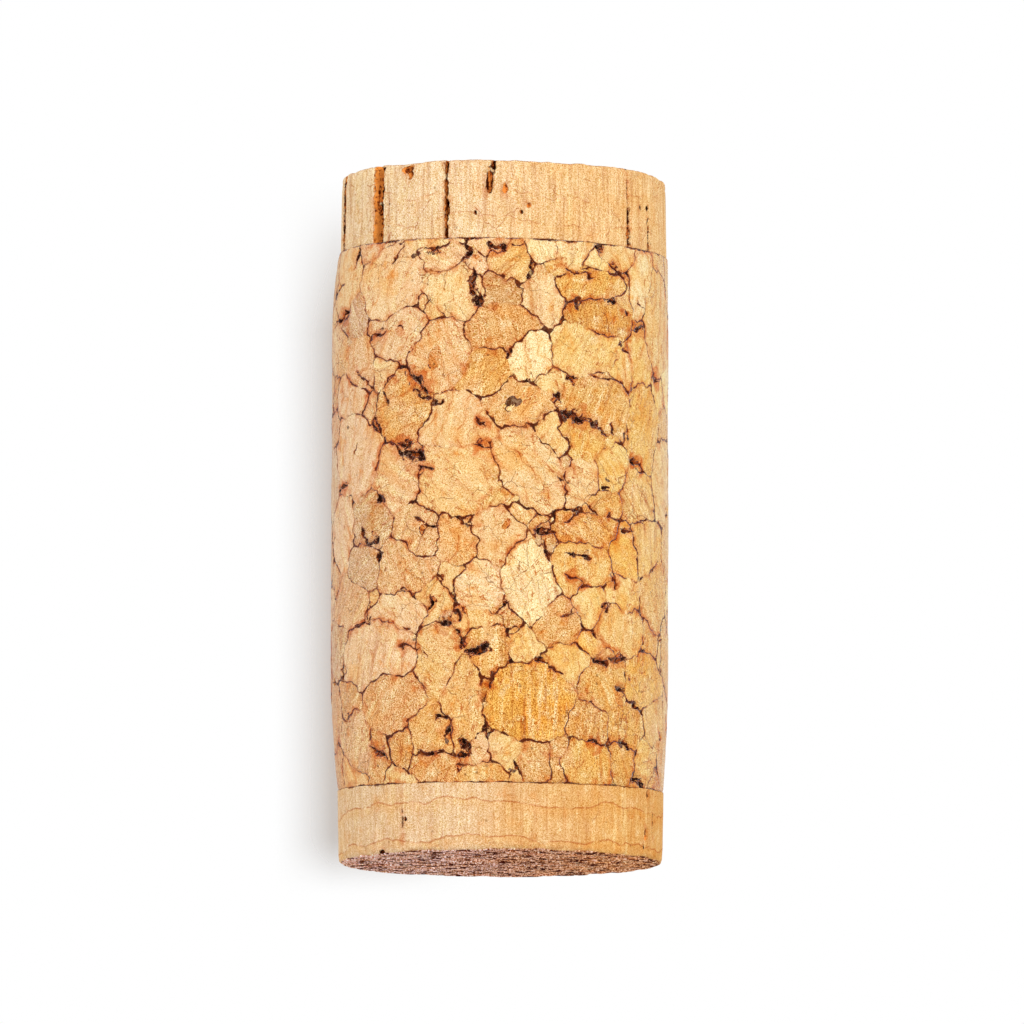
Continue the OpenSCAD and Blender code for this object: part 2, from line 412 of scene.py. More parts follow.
def placeGranules(spec):
    # those of the front as listed; the rest are thrown at random, the large first, and stay where
    # they keep a share of both sizes away from all others
    rng = np.random.default_rng(41)
    rows = listedGranules(spec) + riftCrumbs(rng, spec)
    low, high = bodyLow[2] + spec["margin"], bodyHigh[2] - spec["margin"]
    for small, large, throws in spec["fills"]:
        for throw in range(throws):
            place, height = rng.uniform(-girth / 2, girth / 2), rng.uniform(low, high)
            size, shape = rng.uniform(small, large), rng.uniform(0.72, 1.3)
            lean, pick = rng.uniform(-1.2, 1.2), rng.uniform(0, 1)
            known = np.array(rows)
            apart = np.hypot(wrap(known[:, 0] - place), known[:, 1] - height)
            sizes = np.sqrt(known[:, 2] * known[:, 3])
            if np.all(apart > spec["packing"] * (sizes + size)):
                right = 0.5 + 0.5 * math.sin(place / bodyRadius)
                odds = np.array(spec["toneOdds"]) + right * np.array(spec["toneTurns"])
                tone = int(np.searchsorted(np.cumsum(odds) / odds.sum(), pick))
                rows.append((place, height, size * shape, size / shape, lean, tone, 1))
    return np.array(rows)


def placeRifts(spec):
    # the front's rifts, others at random round the back, and short thin ones all round
    rng = np.random.default_rng(7)
    rifts = [(*asSeen(a, h), *asSeen(b, k), width, rust) for a, h, b, k, width, rust in frontRifts]
    for count, first, last, shortest, longest, widest in (spec["backRifts"], spec["shortRifts"]):
        for extra in range(count):
            place = math.radians(rng.uniform(first, last)) * bodyRadius
            height = rng.uniform(bodyLow[2] + 1, bodyHigh[2] - 1)
            turn, run = rng.normal(0, 0.6), rng.uniform(shortest, longest)
            width = rng.uniform(0.05, widest) * (1 + (rng.uniform() > 0.93))
            rust = rng.uniform(0, 1) ** 1.5
            end, endHeight = place + run * math.cos(turn), height + run * math.sin(turn)
            rifts.append((place, height, end, endHeight, width, rust))
    return np.array(rifts)


def waver(across, height, spec):
    # bends the unrolled surface by waves of two lengths, so that straight borders turn ragged
    points = onCylinder(across, height)
    for order, (length, reach) in enumerate(spec["wavers"]):
        across = across + reach * waves(points, length, 11 + order)
        height = height + reach * waves(points, length, 21 + order)
    return across, height


def bendRifts(across, height, spec):
    # waves of two lengths wind the rifts, as they do the borders
    points = onCylinder(across, height)
    for order, (length, aside, up) in enumerate(spec["riftWavers"]):
        across = across + aside * waves(points, length, 51 + order)
        height = height + up * waves(points, length, 53 + order)
    return across, height


def powerDistance(across, height, granules, which):
    # force times half width times half height times the sum of (offset along over half width)
    # squared and (offset up over half height) squared, less one: borders of equal force are nearly
    # straight, and a small granule of great force keeps its place within a large one
    own = granules[which]
    aside = wrap(across - own[..., 0])
    up = height - own[..., 1]
    cosine, sine = np.cos(own[..., 4]), np.sin(own[..., 4])
    along = (aside * cosine + up * sine) / own[..., 2]
    over = (up * cosine - aside * sine) / own[..., 3]
    return own[..., 6] * own[..., 2] * own[..., 3] * (along ** 2 + over ** 2 - 1)


def rankGranules(across, height, granules):
    # the three granules with the least power distance at each point, nearest first
    best = np.full((3,) + across.shape, np.inf)
    rank = np.zeros((3,) + across.shape, int)
    for index in range(len(granules)):
        distance = powerDistance(across, height, granules, index)
        first, second, third = distance < best[0], distance < best[1], distance < best[2]
        best[2] = np.where(second, best[1], np.where(third, distance, best[2]))
        rank[2] = np.where(second, rank[1], np.where(third, index, rank[2]))
        best[1] = np.where(first, best[0], np.where(second, distance, best[1]))
        rank[1] = np.where(first, rank[0], np.where(second, index, rank[1]))
        best[0] = np.where(first, distance, best[0])
        rank[0] = np.where(first, index, rank[0])
    return rank


def borderDistance(across, height, granules, owner, rival, spec):
    # how much nearer the owner is than the rival, over that difference's slope, in mm,
    # and the step that leads to the border
    probe = 0.02
    values = []
    for aside, up in ((0, 0), (probe, 0), (0, probe)):
        bent = waver(across + aside, height + up, spec)
        values.append(powerDistance(*bent, granules, rival) - powerDistance(*bent, granules, owner))
    slopeAcross = (values[1] - values[0]) / probe
    slopeUp = (values[2] - values[0]) / probe
    steepness = np.maximum(slopeAcross ** 2 + slopeUp ** 2, 1e-4)
    distance = values[0] / np.sqrt(steepness)
    return distance, -values[0] * slopeAcross / steepness, -values[0] * slopeUp / steepness


def shift(grid, rows, columns):
    # the grid's values from that many rows up and columns round, the last row repeated
    row = np.clip(np.arange(len(grid)) + rows, 0, len(grid) - 1)
    return np.roll(grid, -columns, axis=1)[row]


def snapToBorders(across, height, granules, spec):
    # vertices within 0.3 of the pitch of a border move onto it; where a grid edge still crosses
    # a border, its end on an even square moves too. The three rows at each end stay
    owner, rival = rankGranules(*waver(across, height, spec), granules)[:2]
    aside, up = across.copy(), height.copy()
    distance = borderDistance(across, height, granules, owner, rival, spec)[0]
    for turn in range(3):
        step = borderDistance(aside, up, granules, owner, rival, spec)
        limit = 0.7 * spec["pitch"]
        aside = across + np.clip(aside + step[1] - across, -limit, limit)
        up = height + np.clip(up + step[2] - height, -limit, limit)
    near = np.abs(distance) < 0.3 * spec["pitch"]
    even = np.add.outer(np.arange(across.shape[0]), np.arange(across.shape[1])) % 2 == 0
    crossing = np.zeros(across.shape, bool)
    for rows, columns in ((1, 0), (-1, 0), (0, 1), (0, -1)):
        crossing |= (owner != shift(owner, rows, columns)) & ~shift(near, rows, columns)
    snapped = near | (even & crossing & (np.abs(distance) < 0.72 * spec["pitch"]))
    snapped[:3] = snapped[-3:] = False
    return np.where(snapped, aside, across), np.where(snapped, up, height), snapped


def riftPlaces(across, height, rift):
    # the signed distance from the rift's middle line, and its half width there, which is one less
    # the fourth power of the share of the way from its middle to an end, and negative past the ends
    start, startHeight, end, endHeight, width = rift[:5]
    long = np.hypot(end - start, endHeight - startHeight) + 1e-6
    alongAcross, alongUp = (end - start) / long, (endHeight - startHeight) / long
    aside, up = wrap(across - (start + end) / 2), height - (startHeight + endHeight) / 2
    along = (aside * alongAcross + up * alongUp) / (long / 2 + width)
    return up * alongAcross - aside * alongUp, width * (1 - along ** 4)


def nearestRifts(across, height, rifts):
    # the rift with the least distance less half width at each point, one value on each row
    nearest, which = np.full(across.shape, np.inf), np.zeros(across.shape, int)
    for order, rift in enumerate(rifts):
        aside, width = riftPlaces(across, height, rift)
        away = np.abs(aside) - width + 8 * np.maximum(0, -width)
        which = np.where(away < nearest, order, which)
        nearest = np.minimum(nearest, away)
    return np.moveaxis(rifts[which], -1, 0)


def settleRifts(rifts, granules, spec):
    # an end of a rift that lies no further than its reach from a border between granules moves
    # onto it; the front's rifts reach less far than the random ones
    reach = np.where(np.arange(len(rifts)) < len(frontRifts), 0.7, 1.6)
    for end in (0, 2):
        across, height = rifts[:, end], rifts[:, end + 1]
        for turn in range(2):
            rank = rankGranules(*waver(across, height, spec), granules)
            away, aside, up = borderDistance(across, height, granules, rank[0], rank[1], spec)
            near = np.hypot(aside, up) < reach
            across, height = across + np.where(near, aside, 0), height + np.where(near, up, 0)
        rifts[:, end], rifts[:, end + 1] = across, height
    return rifts


def bodyProfile(height, spec):
    # the radius is full in the middle and falls along an arc over the draw height at each end
    drop = 0
    for share, tall, past in ((spec["topShare"], spec["drawHeight"], bodyHigh[2] - height),
                              (spec["lowShare"], spec["lowHeight"], height - bodyLow[2])):
        arc = (tall ** 2 + spec["drawIn"] ** 2) / (2 * spec["drawIn"])
        drop = drop + share * (arc - np.sqrt(arc ** 2 - np.clip(tall - past, 0, tall) ** 2))
    return bodyRadius - drop


def bodyGrid(spec):
    # even columns round the body, and even rows with finer ones at both joints
    fine = np.array([0, 0.07, 0.16])
    low, high = bodyLow[2] + spec["margin"], bodyHigh[2] - spec["margin"]
    middle = np.linspace(low, high, int(round((high - low) / spec["pitch"])) + 1)
    levels = np.concatenate([bodyLow[2] + fine, middle, bodyHigh[2] - fine[::-1]])
    line = (np.arange(spec["columns"]) / spec["columns"] - 0.5) * girth
    height, across = np.meshgrid(levels, line, indexing="ij")
    return across, height


def seamFields(across, height, snapped, granules, ragged, spec):
    # each vertex's granule, how far it is from the nearest border or joint, and the half width and
    # rust of that seam. A seam's width is picked by chance for its two granules, swells by waves,
    # and opens where three granules meet
    points = onCylinder(across, height)
    owner, rival, other = rankGranules(*waver(across, height, spec), granules)
    edge = np.abs(borderDistance(across, height, granules, owner, rival, spec)[0])
    thirdEdge = np.abs(borderDistance(across, height, granules, owner, other, spec)[0])
    edge = np.where(snapped, 0, np.minimum(edge, thirdEdge))
    unevenness = np.clip(0.85 + 0.4 * waves(points, 1.7, 31), 0.15, 1.8)
    gap = np.interp(chance(owner, rival), *spec["lineWidths"]) * unevenness
    corner = np.exp(-(thirdEdge / 0.4) ** 2) * (waves(points, 3.1, 32) > 0.55)
    gap = np.maximum(gap, corner * spec["junctionGap"] * ragged)
    outlined = np.maximum(granules[owner, 6], granules[rival, 6]) > 1
    gap = np.where(outlined, np.maximum(gap, spec["outlineGap"] * ragged), gap)
    rust = smooth(0.55, 0.95, chance(owner, rival, 5.1)) * smooth(-0.4, 1.2, waves(points, 2.4, 34))
    joint = np.minimum(height - bodyLow[2], bodyHigh[2] - height)
    jointGap = np.clip(0.03 + 0.035 * waves(points, 1.4, 35), 0.004, 0.12)
    return owner, np.minimum(edge, joint), np.where(joint < edge, jointGap, gap), rust


def sinkBody(across, height, owner, edge, gap, riftAside, riftWidth, spec):
    # the profile's radius less grooves along the seams, the rifts, each granule's own inset,
    # a slight unevenness and the wear of both edges
    points = onCylinder(across, height)
    joint = np.minimum(height - bodyLow[2], bodyHigh[2] - height)
    depth = spec["grooveDepth"] * smooth(0, 1, 1 - edge / np.maximum(gap, 0.03))
    opening = smooth(0, 1, 1 - np.abs(riftAside) / np.maximum(1.3 * riftWidth, 0.02))
    depth = np.maximum(depth, opening * np.minimum(2.4 * riftWidth, spec["deepest"]))
    depth = np.where(joint < 0.02, 0, depth)
    inset = spec["inset"] * chance(owner, owner, 2.2) * smooth(0, 0.3, edge)
    uneven = 0.012 * (1 + np.tanh(waves(points, 1.1, 36)))
    edgeWear = spec["edgeWear"] * (1 - smooth(0, 0.4, joint))
    radius = bodyProfile(height, spec) - depth - inset - uneven * smooth(0, 0.5, joint) - edgeWear
    return np.minimum(radius, bodyRadius)


def splitQuads(across, height, owner, snapped):
    # two triangles a square: the diagonal that doesn't cross a border, and otherwise the shorter
    a, b, c, d = gridCorners(*across.shape)
    across, height, owner, snapped = (grid.ravel() for grid in (across, height, owner, snapped))

    def cost(p, q):
        # the diagonal's length, more where it crosses a border and less where it lies on one
        crosses = (owner[p] != owner[q]) & ~snapped[p] & ~snapped[q]
        length = np.hypot(wrap(across[p] - across[q]), height[p] - height[q])
        return length + 2.0 * crosses - 0.08 * (snapped[p] & snapped[q])

    straight = cost(a, c) <= cost(b, d)
    return np.concatenate([faceList(a, b, np.where(straight, c, d)),
                           faceList(np.where(straight, a, b), c, d)])


def granuleColors(granules, spec):
    # each granule's tone, less blue towards the right, where warm light is painted in, and bluer at the
    # left, where cool light is, and less blue lower down, with a jitter of its own
    jitter = np.random.default_rng(3).normal(0, 1, (len(granules), 4))[:, :1]
    tones = np.array(list(granuleTones.values()))[granules[:, 5].astype(int)]
    low = (granules[:, 1:2] - (bodyLow[2] + bodyHigh[2]) / 2) / 20 * spec["lowHue"]
    right = np.sin(granules[:, :1] / bodyRadius) * spec["sideHue"]
    tones = tones * (1 + low * (0.1, 0.4, 1.0) + right * (0, 0.3, -1)) + jitter * (0.014, 0.034, 0.05)
    return np.append(toLinear(np.clip(tones, 0.05, 0.985)), np.ones((len(granules), 1)), axis=1)


def withCaps(values, count, rest):
    # the side's corner values, and then the same rest on every corner of the two caps
    filled = np.full((count, 3, values.shape[-1]), rest, float)
    filled[:len(values)] = values
    return filled


def bodyCorners(across, height, swell, sides, count, granules, rifts, spec):
    # what each triangle's corners say of its own granule, the nearest seam and the nearest rift:
    # tone, place along and over the grain, side of the seam, and place, half width and rust of the
    # rift. Also the corners' place across, unbroken at the back
    flatAcross, flatHeight = across.ravel()[sides], height.ravel()[sides]
    behind = flatAcross - flatAcross.min(axis=1)[:, None] > girth / 2
    flatAcross = np.where(behind, flatAcross - girth, flatAcross)
    middle = flatAcross.mean(axis=1), flatHeight.mean(axis=1)
    owner, rival = rankGranules(*waver(*middle, spec), granules)[:2]
    own = granules[owner]
    turn = np.random.default_rng(5).normal(1.9, 0.7, len(granules))[owner][:, None]
    aside, up = wrap(flatAcross - own[:, None, 0]), flatHeight - own[:, None, 1]
    along, over = aside * np.cos(turn) + up * np.sin(turn), up * np.cos(turn) - aside * np.sin(turn)
    grain = np.stack([along, over, np.broadcast_to(owner[:, None] * 7.3, aside.shape)], -1)
    bent = [grid.ravel()[sides] for grid in bendRifts(across, height, spec)]
    near = nearestRifts(*bendRifts(*middle, spec), rifts)[:, :, None]
    riftAside, riftWidth = riftPlaces(*bent, near)
    crack = np.stack([riftAside, riftWidth * swell.ravel()[sides], near[5] + 0 * flatAcross], -1)
    return {
        "tone": withCaps(granuleColors(granules, spec)[owner][:, None, :], count, (0.4, 0.4, 0.4, 1)),
        "grain": withCaps(grain, count, 0),
        "flank": withCaps(np.where(owner < rival, 1, -1)[:, None, None], count, 1),
        "crack": withCaps(crack, count, (1, -1, 0)),
    }, flatAcross


def bodyPlaces(surface, triangles, flatAcross, capCount):
    # the side fills the map but for a strip at its top, where the two caps lie
    places = np.zeros((len(triangles), 3, 2))
    sideCount = len(flatAcross)
    height = surface[triangles[:sideCount], 2]
    places[:sideCount, :, 0] = np.clip(0.002 + 0.996 * (flatAcross / girth + 0.5), 0, 1)
    places[:sideCount, :, 1] = 0.002 + 0.93 * (height - bodyLow[2]) / (bodyHigh[2] - bodyLow[2])
    for order, mirrored in enumerate((-1, 1)):
        own = slice(sideCount + order * capCount, sideCount + (order + 1) * capCount)
        flat = surface[triangles[own]][:, :, :2] / bodyRadius * (mirrored, 1)
        places[own] = np.array([0.1 + 0.2 * order, 0.965]) + flat * 0.03
    return places


def makeGranuleBody(spec):
    # a cylinder over arc and height, sunk at the seams and the rifts, with a flat cap on each end
    granules = placeGranules(spec)
    rifts = settleRifts(placeRifts(spec), granules, spec)
    across, height, snapped = snapToBorders(*bodyGrid(spec), granules, spec)
    print("granules placed:", len(granules), "vertices on borders:", int(snapped.sum()))
    points = onCylinder(across, height)
    ragged = np.clip(1 + 0.35 * waves(points, 0.6, 33), 0.2, 1.8)
    swell = np.clip(1 + 0.33 * waves(points, 0.9, 37), 0.4, 1.8)
    owner, edge, gap, rust = seamFields(across, height, snapped, granules, ragged, spec)
    bent = bendRifts(across, height, spec)
    riftAside, riftWidth = riftPlaces(*bent, nearestRifts(*bent, rifts))
    riftWidth = np.maximum(riftWidth * swell, 0) * ragged
    radius = sinkBody(across, height, owner, edge, gap, riftAside, riftWidth, spec)
    surface = onCylinder(across, height, radius).reshape(-1, 3)

    rows, columns = across.shape
    sides = splitQuads(across, height, owner, snapped)
    surface, low = endCap(np.arange(columns), np.array([0, 0, bodyLow[2]]), surface, True)
    topRing = np.arange((rows - 1) * columns, rows * columns)
    surface, high = endCap(topRing, np.array([0, 0, bodyHigh[2]]), surface, False)
    triangles = np.concatenate([sides, low, high])
    cornerValues, flatAcross = bodyCorners(
        across, height, swell, sides, len(triangles), granules, rifts, spec)
    places = bodyPlaces(surface, triangles, flatAcross, len(low))
    extra = len(surface) - across.size
    pointValues = {
        label: np.append(values.ravel(), np.full(extra, rest))
        for label, values, rest in (("edge", edge, 0.5), ("gap", gap, 0.01), ("rust", rust, 0))
    }
    return makeMesh("granuleBody", leanPoints(surface), triangles, pointValues, cornerValues, places)


body = makeGranuleBody(granuleBody)
seatPiece(body, "granule_body")


# A channel is a box on a disc's side with ragged walls, a pit an ellipse. Both lists give angle,
# width, lowest and highest point, depth, and how dark each is inside
topDisc = {
    "name": "topDisc",
    "node": "top_disc",
    "slot": "natural_cork_top",
    "columns": 680,
    "upward": 1,             # which way the end face looks
    "rim": 0.35,
    "taper": 0.08,
    "slim": 0.05,            # how much less its radius is than the node's
    "sag": 0.05,             # how far the worn rim lies in from the end face
    "channels": [
        (-78.5, 0.8, 43.3, 49.0, 0.7, 0.75), (-51, 0.75, 43.3, 49.0, 0.7, 0.35),
        # the narrow, dark channel at -48.5 is painted shade in the right part of the one at -51
        (-48.5, 0.46, 43.3, 48.8, 0.8, 1.1), (-20.6, 0.33, 43.3, 49.0, 0.7, 0.65),
        (49.4, 0.18, 46.0, 49.0, 0.5, 0.7), (49.8, 0.36, 43.3, 46.2, 0.55, 0.45),
        (62.3, 0.28, 43.3, 45.7, 0.45, 0.55),
    ],
    "pits": [
        (-35.8, 0.9, 48.2, 48.8, 0.4, 0.45), (-35.0, 0.4, 47.6, 48.4, 0.35, 0.3),
        (-3.4, 0.3, 48.1, 49.2, 0.35, 0.8), (-4.8, 0.42, 46.4, 48.2, 0.4, 0.45),
        (-5.7, 0.2, 46.6, 47.8, 0.3, 1.0), (0.5, 0.36, 46.5, 47.2, 0.2, 0.3),
        (9.0, 0.34, 45.5, 45.9, 0.2, 0.25), (6.2, 0.18, 45.1, 45.35, 0.15, 0.6),
        (-44.3, 0.2, 45.9, 46.15, 0.15, 0.9), (-10.0, 0.2, 45.0, 45.25, 0.15, 0.8),
        (56.7, 0.26, 46.2, 46.5, 0.15, 0.6), (61.5, 0.28, 46.2, 46.5, 0.15, 0.8),
        (120, 0.4, 44.6, 46.3, 0.4, 0.7), (205, 0.5, 46.4, 47.6, 0.45, 0.6),
    ],
    "backChannels": 5,
    "facePores": 34,
    "seed": 101,
    "side": (0.912, 0.79, 0.627),    # screen colours of its side and its end face
    "end": (0.87, 0.70, 0.52),
    # how strongly the disc turns golden, in patches and towards the right as painted warm light
    "golden": 0.55,
    "mottle": 0.5,
    "fibres": 0.75,
    "speckle": 0.65,
    "endSpeckle": 1.6,
    # painted shade and highlight: how strongly the end face shows torn-out cells dark and raised ones pale
    "paintedTornRelief": 0.25,            # how strongly the end face shows where cells were torn out
    "rings": (46.6, 44.5),   # heights of the growth lines
    "ringBreak": 0.44,       # the higher, the less of the growth lines shows
    "ringStrength": 0.45,
    "ringWave": 5.0,         # mm from the lowest to the highest that they could wander
    "glow": 0.12,
    "hairlines": 0.5,
    "foldShading": 0.4,
}

bottomDisc = {
    "name": "bottomDisc",
    "node": "bottom_disc",
    "slot": "natural_cork_bottom",
    "columns": 680,
    "upward": -1,
    "rim": 0.35,
    "taper": 0.08,
    "slim": 0.09,
    "sag": 0.0,
    "channels": [],
    "pits": [
        (-36.8, 0.18, 1.5, 3.2, 0.4, 1.0), (-35.6, 0.3, 2.2, 2.65, 0.12, 0.8),
        (63.0, 0.3, 1.3, 2.3, 0.2, 0.3), (61.5, 0.26, 0.5, 1.3, 0.2, 0.35),
        (69.0, 0.12, 2.2, 3.4, 0.2, 0.7), (64.0, 0.3, 4.4, 5.1, 0.4, 1.0),
        (-47, 0.5, 0.0, 0.3, 0.25, 1.3), (132, 0.3, 1.2, 2.8, 0.35, 0.7),
        (-140, 0.35, 2.2, 3.3, 0.35, 0.7),
    ],
    "backChannels": 3,
    "facePores": 46,
    "seed": 202,
    "side": (0.883, 0.742, 0.58),
    "end": (0.99, 0.77, 0.675),
    # how strongly the disc turns golden, in patches and towards the right as painted warm light
    "golden": 0.9,
    "mottle": 0.65,
    "fibres": 0.35,
    "speckle": 0.6,
    "endSpeckle": 2.4,
    # painted shade and highlight: how strongly the end face shows torn-out cells dark and raised ones pale
    "paintedTornRelief": 1.0,
    "rings": (3.35, 0.8),
    "ringBreak": 0.36,
    "ringStrength": 0.62,
    "ringWave": 2.8,
    "glow": 0.28,
    "hairlines": 0.44,
    "foldShading": 0.25,
}


def squareToDisc(count):
    # Shirley and Chiu's map: a square's larger coordinate is the radius, and the smaller over it
    # times an eighth of a turn is the angle, so the square's border is evenly spaced round the disc
    line = np.linspace(-1, 1, count + 1)
    b, a = np.meshgrid(line, line, indexing="ij")
    wide = np.abs(a) > np.abs(b)
    larger = np.where(wide, a, b)
    larger = np.where(np.abs(larger) < 1e-9, 1e-9, larger)
    angle = np.where(wide, math.pi / 4 * b / larger, math.pi / 2 - math.pi / 4 * a / larger)
    return np.abs(larger), np.where(larger < 0, angle + math.pi, angle)


def allChannels(low, high, spec):
    # the listed channels, and others at random round the back
    rng = np.random.default_rng(spec["seed"])
    channels = list(spec["channels"])
    for extra in range(spec["backChannels"]):
        turn, width = rng.uniform(85, 275), rng.uniform(0.14, 0.5)
        top = high if rng.uniform() < 0.6 else low + 3
        channels.append((turn, width, low, top, 0.6, rng.uniform(0.3, 0.9)))
    return channels


def channelAway(aside, height, half, bottom, top, low, high):
    # the largest distance past a wall or an end; a channel that reaches an end of the disc runs on
    bottom = 0 if bottom <= low + 0.01 else bottom
    top = 99 if top >= high - 0.01 else top
    return np.maximum(np.abs(aside) - half, np.maximum(bottom - height, height - top))


def pitAway(aside, height, half, bottom, top):
    # the root of the squares of both offsets over their half sizes, less one, times the smaller
    tall = (top - bottom) / 2
    return (np.hypot(aside / half, (height - (top + bottom) / 2) / tall) - 1) * min(half, tall)


def openingFields(angle, height, inward, spec):
    # signed distance in mm to the nearest channel or pit, the place across it from -1 to 1,
    # its darkness and its depth; inward is how far a point lies in from the side
    low, high = (corner[2] for corner in boxInMm(spec["node"]))
    points = turned(angle, discRadius, height)
    ragged = 0.03 * waves(points, 0.45, spec["seed"]) + 0.03 * waves(points, 1.6, spec["seed"] + 1)
    slit, side, dark, depth = (np.full(angle.shape, value) for value in (9.0, 0.0, 0.0, 0.0))
    shapes = [(*channel, False) for channel in allChannels(low, high, spec)]
    shapes += [(*pit, True) for pit in spec["pits"]]
    around = discRadius * math.pi
    for turn, width, bottom, top, deep, darkness, isPit in shapes:
        aside = (angle * discRadius - math.radians(turn) * discRadius + around) % (2 * around) - around
        half = width / 2
        if isPit:
            away = pitAway(aside, height, half, bottom, top) + ragged * min(1, width / 0.3)
        else:
            away = channelAway(aside, height, half, bottom, top, low, high) + ragged * 0.9
        away = np.maximum(away, inward - deep)
        nearer = away < slit
        slit = np.where(nearer, away, slit)
        side = np.where(nearer, np.clip(aside / half, -2, 2), side)
        dark = np.where(nearer, darkness, dark)
        depth = np.where(nearer, deep * smooth(0.02, -0.45 * half - 0.03, away), depth)
    return slit, side, dark, depth


def poreFields(points, spec):
    # signed distance to the nearest pore of an end face; each is a random leaning ellipse
    rng = np.random.default_rng(spec["seed"] + 7)
    x, y = points[..., 0], points[..., 1]
    nearest, depth = np.full(x.shape, 9.0), np.zeros(x.shape)
    ragged = 0.05 * waves(points, 0.7, spec["seed"] + 8)
    for pore in range(spec["facePores"]):
        radius, turn = discRadius * 0.94 * math.sqrt(rng.uniform()), rng.uniform(0, 2 * math.pi)
        long, slim, lean = rng.uniform(0.2, 0.75), rng.uniform(0.08, 0.24), rng.normal(0.3, 0.35)
        aside, up = x - radius * math.cos(turn), y - radius * math.sin(turn)
        along = (aside * math.cos(lean) + up * math.sin(lean)) / long
        over = (up * math.cos(lean) - aside * math.sin(lean)) / slim
        away = (np.hypot(along, over) - 1) * slim + ragged
        depth = np.where(away < nearest, 0.35 * smooth(0.03, -0.8 * slim, away), depth)
        nearest = np.minimum(nearest, away)
    return nearest, depth


def discProfile(tall, spec):
    # distance up from the glued face and radius: a tapering side, then a quarter circle at the rim
    rim = spec["rim"]
    faceRadius = discRadius - spec["slim"] - spec["taper"]
    up = np.concatenate([[0, 0.05, 0.12], np.linspace(0.22, tall - rim, int((tall - rim - 0.22) / 0.105))])
    radius = discRadius - spec["slim"] - spec["taper"] * up / tall
    bend = np.linspace(0, math.pi / 2, 7)[1:]
    up = np.concatenate([up, tall - rim + rim * np.sin(bend)])
    return up, np.concatenate([radius, faceRadius - rim + rim * np.cos(bend)])


def discSide(glued, tall, spec):
    # the profile turned round the axis, less the openings, the rim's wear and a skin of fine
    # ripples; the rim also sags by waves of two lengths
    up, sideRadius = discProfile(tall, spec)
    angle = np.arange(spec["columns"]) / spec["columns"] * 2 * math.pi
    level, turn = np.meshgrid(glued + spec["upward"] * up, angle, indexing="ij")
    up = up[:, None]
    slit, side, dark, depth = openingFields(turn, level, 0, spec)
    base, seed = turned(turn, discRadius, level), spec["seed"]
    onRim = smooth(tall - 1.1, tall - 0.25, up)
    wear = 0.05 + 0.05 * np.tanh(waves(base, 1.6, seed + 3)) + 0.03 * waves(base, 0.5, seed + 4)
    skin = 0.006 * (1 + np.tanh(waves(base * (1, 1, 0.15), 0.35, seed + 5))) * smooth(0, 0.3, up)
    radius = sideRadius[:, None] - depth - np.maximum(onRim * wear, 0) - skin
    flat = base * (1, 1, 0)
    chips = 0.05 * waves(flat, 3.1, seed + 6) + 0.014 * waves(flat, 0.8, seed + 9)
    sag = onRim * np.clip(spec["sag"] + chips, 0, 0.2)
    surface = turned(turn, radius, level - spec["upward"] * sag)
    return surface, radius[-1], sag[-1], {"slit": slit, "side": side, "dark": dark}


def discFace(end, lastRadius, lastSag, spec):
    # the disc map of a square, drawn in to meet the rim's last ring, and sunk by pores and by a
    # roughness of two wavelengths
    share, turn = squareToDisc(spec["columns"] // 4)
    flatRadius = discRadius - spec["slim"] - spec["taper"] - spec["rim"]
    fromFront = turn + math.pi / 2
    ringAngle = np.arange(spec["columns"] + 1) / spec["columns"] * 2 * math.pi
    borderRadius, borderSag = (
        np.interp(fromFront % (2 * math.pi), ringAngle, np.append(ring, ring[0]))
        for ring in (lastRadius, lastSag)
    )
    spread = share * flatRadius
    spread = spread - (flatRadius - borderRadius) * smooth(flatRadius - 3, flatRadius, spread)
    slit, side, dark, depth = openingFields(fromFront, np.full(share.shape, end), discRadius - spread, spec)
    points = np.stack([spread * np.cos(turn), spread * np.sin(turn), 0 * turn], -1)
    pore, poreDepth = poreFields(points, spec)
    rough = 0.02 * (1 + np.tanh(waves(points, 0.9, spec["seed"] + 11))) \
        + 0.015 * (1 + np.tanh(waves(points, 0.34, spec["seed"] + 12)))
    within = 1 - smooth(flatRadius - 0.5, flatRadius, share * flatRadius)
    sink = (poreDepth + rough) * within + borderSag
    points[..., 2] = end - spec["upward"] * sink
    return points, turn, {"slit": slit, "side": side, "dark": dark, "pore": pore}


def discPlaces(surface, triangles, sideCount, endCount, up, spec):
    # the end face fills a circle of the map, the glued face a smaller one beside it, and the side
    # lies above them in three strips
    places = np.zeros((len(triangles), 3, 2))
    columns, upward = spec["columns"], spec["upward"]
    column, row = triangles[:sideCount] % columns, triangles[:sideCount] // columns
    last = column.max(axis=1)[:, None] == columns - 1
    column = np.where((column == 0) & last, columns, column)
    strip = np.minimum(column.min(axis=1) * 3 // columns, 2)[:, None]
    reach = np.concatenate([[0], np.cumsum(np.maximum(np.diff(up), 0.03))])
    places[:sideCount, :, 0] = 0.01 + 0.97 * (column - strip * columns / 3) / (columns / 3)
    places[:sideCount, :, 1] = 0.56 + 0.145 * strip + 0.13 * (reach / reach[-1])[row]
    flat = surface[triangles[sideCount:]][:, :, :2] / discRadius
    places[sideCount:sideCount + endCount] = (0.28, 0.275) + 0.265 * flat[:endCount] * (upward, 1)
    places[sideCount + endCount:] = (0.78, 0.275) + 0.2 * flat[endCount:] * (-upward, 1)
    return places


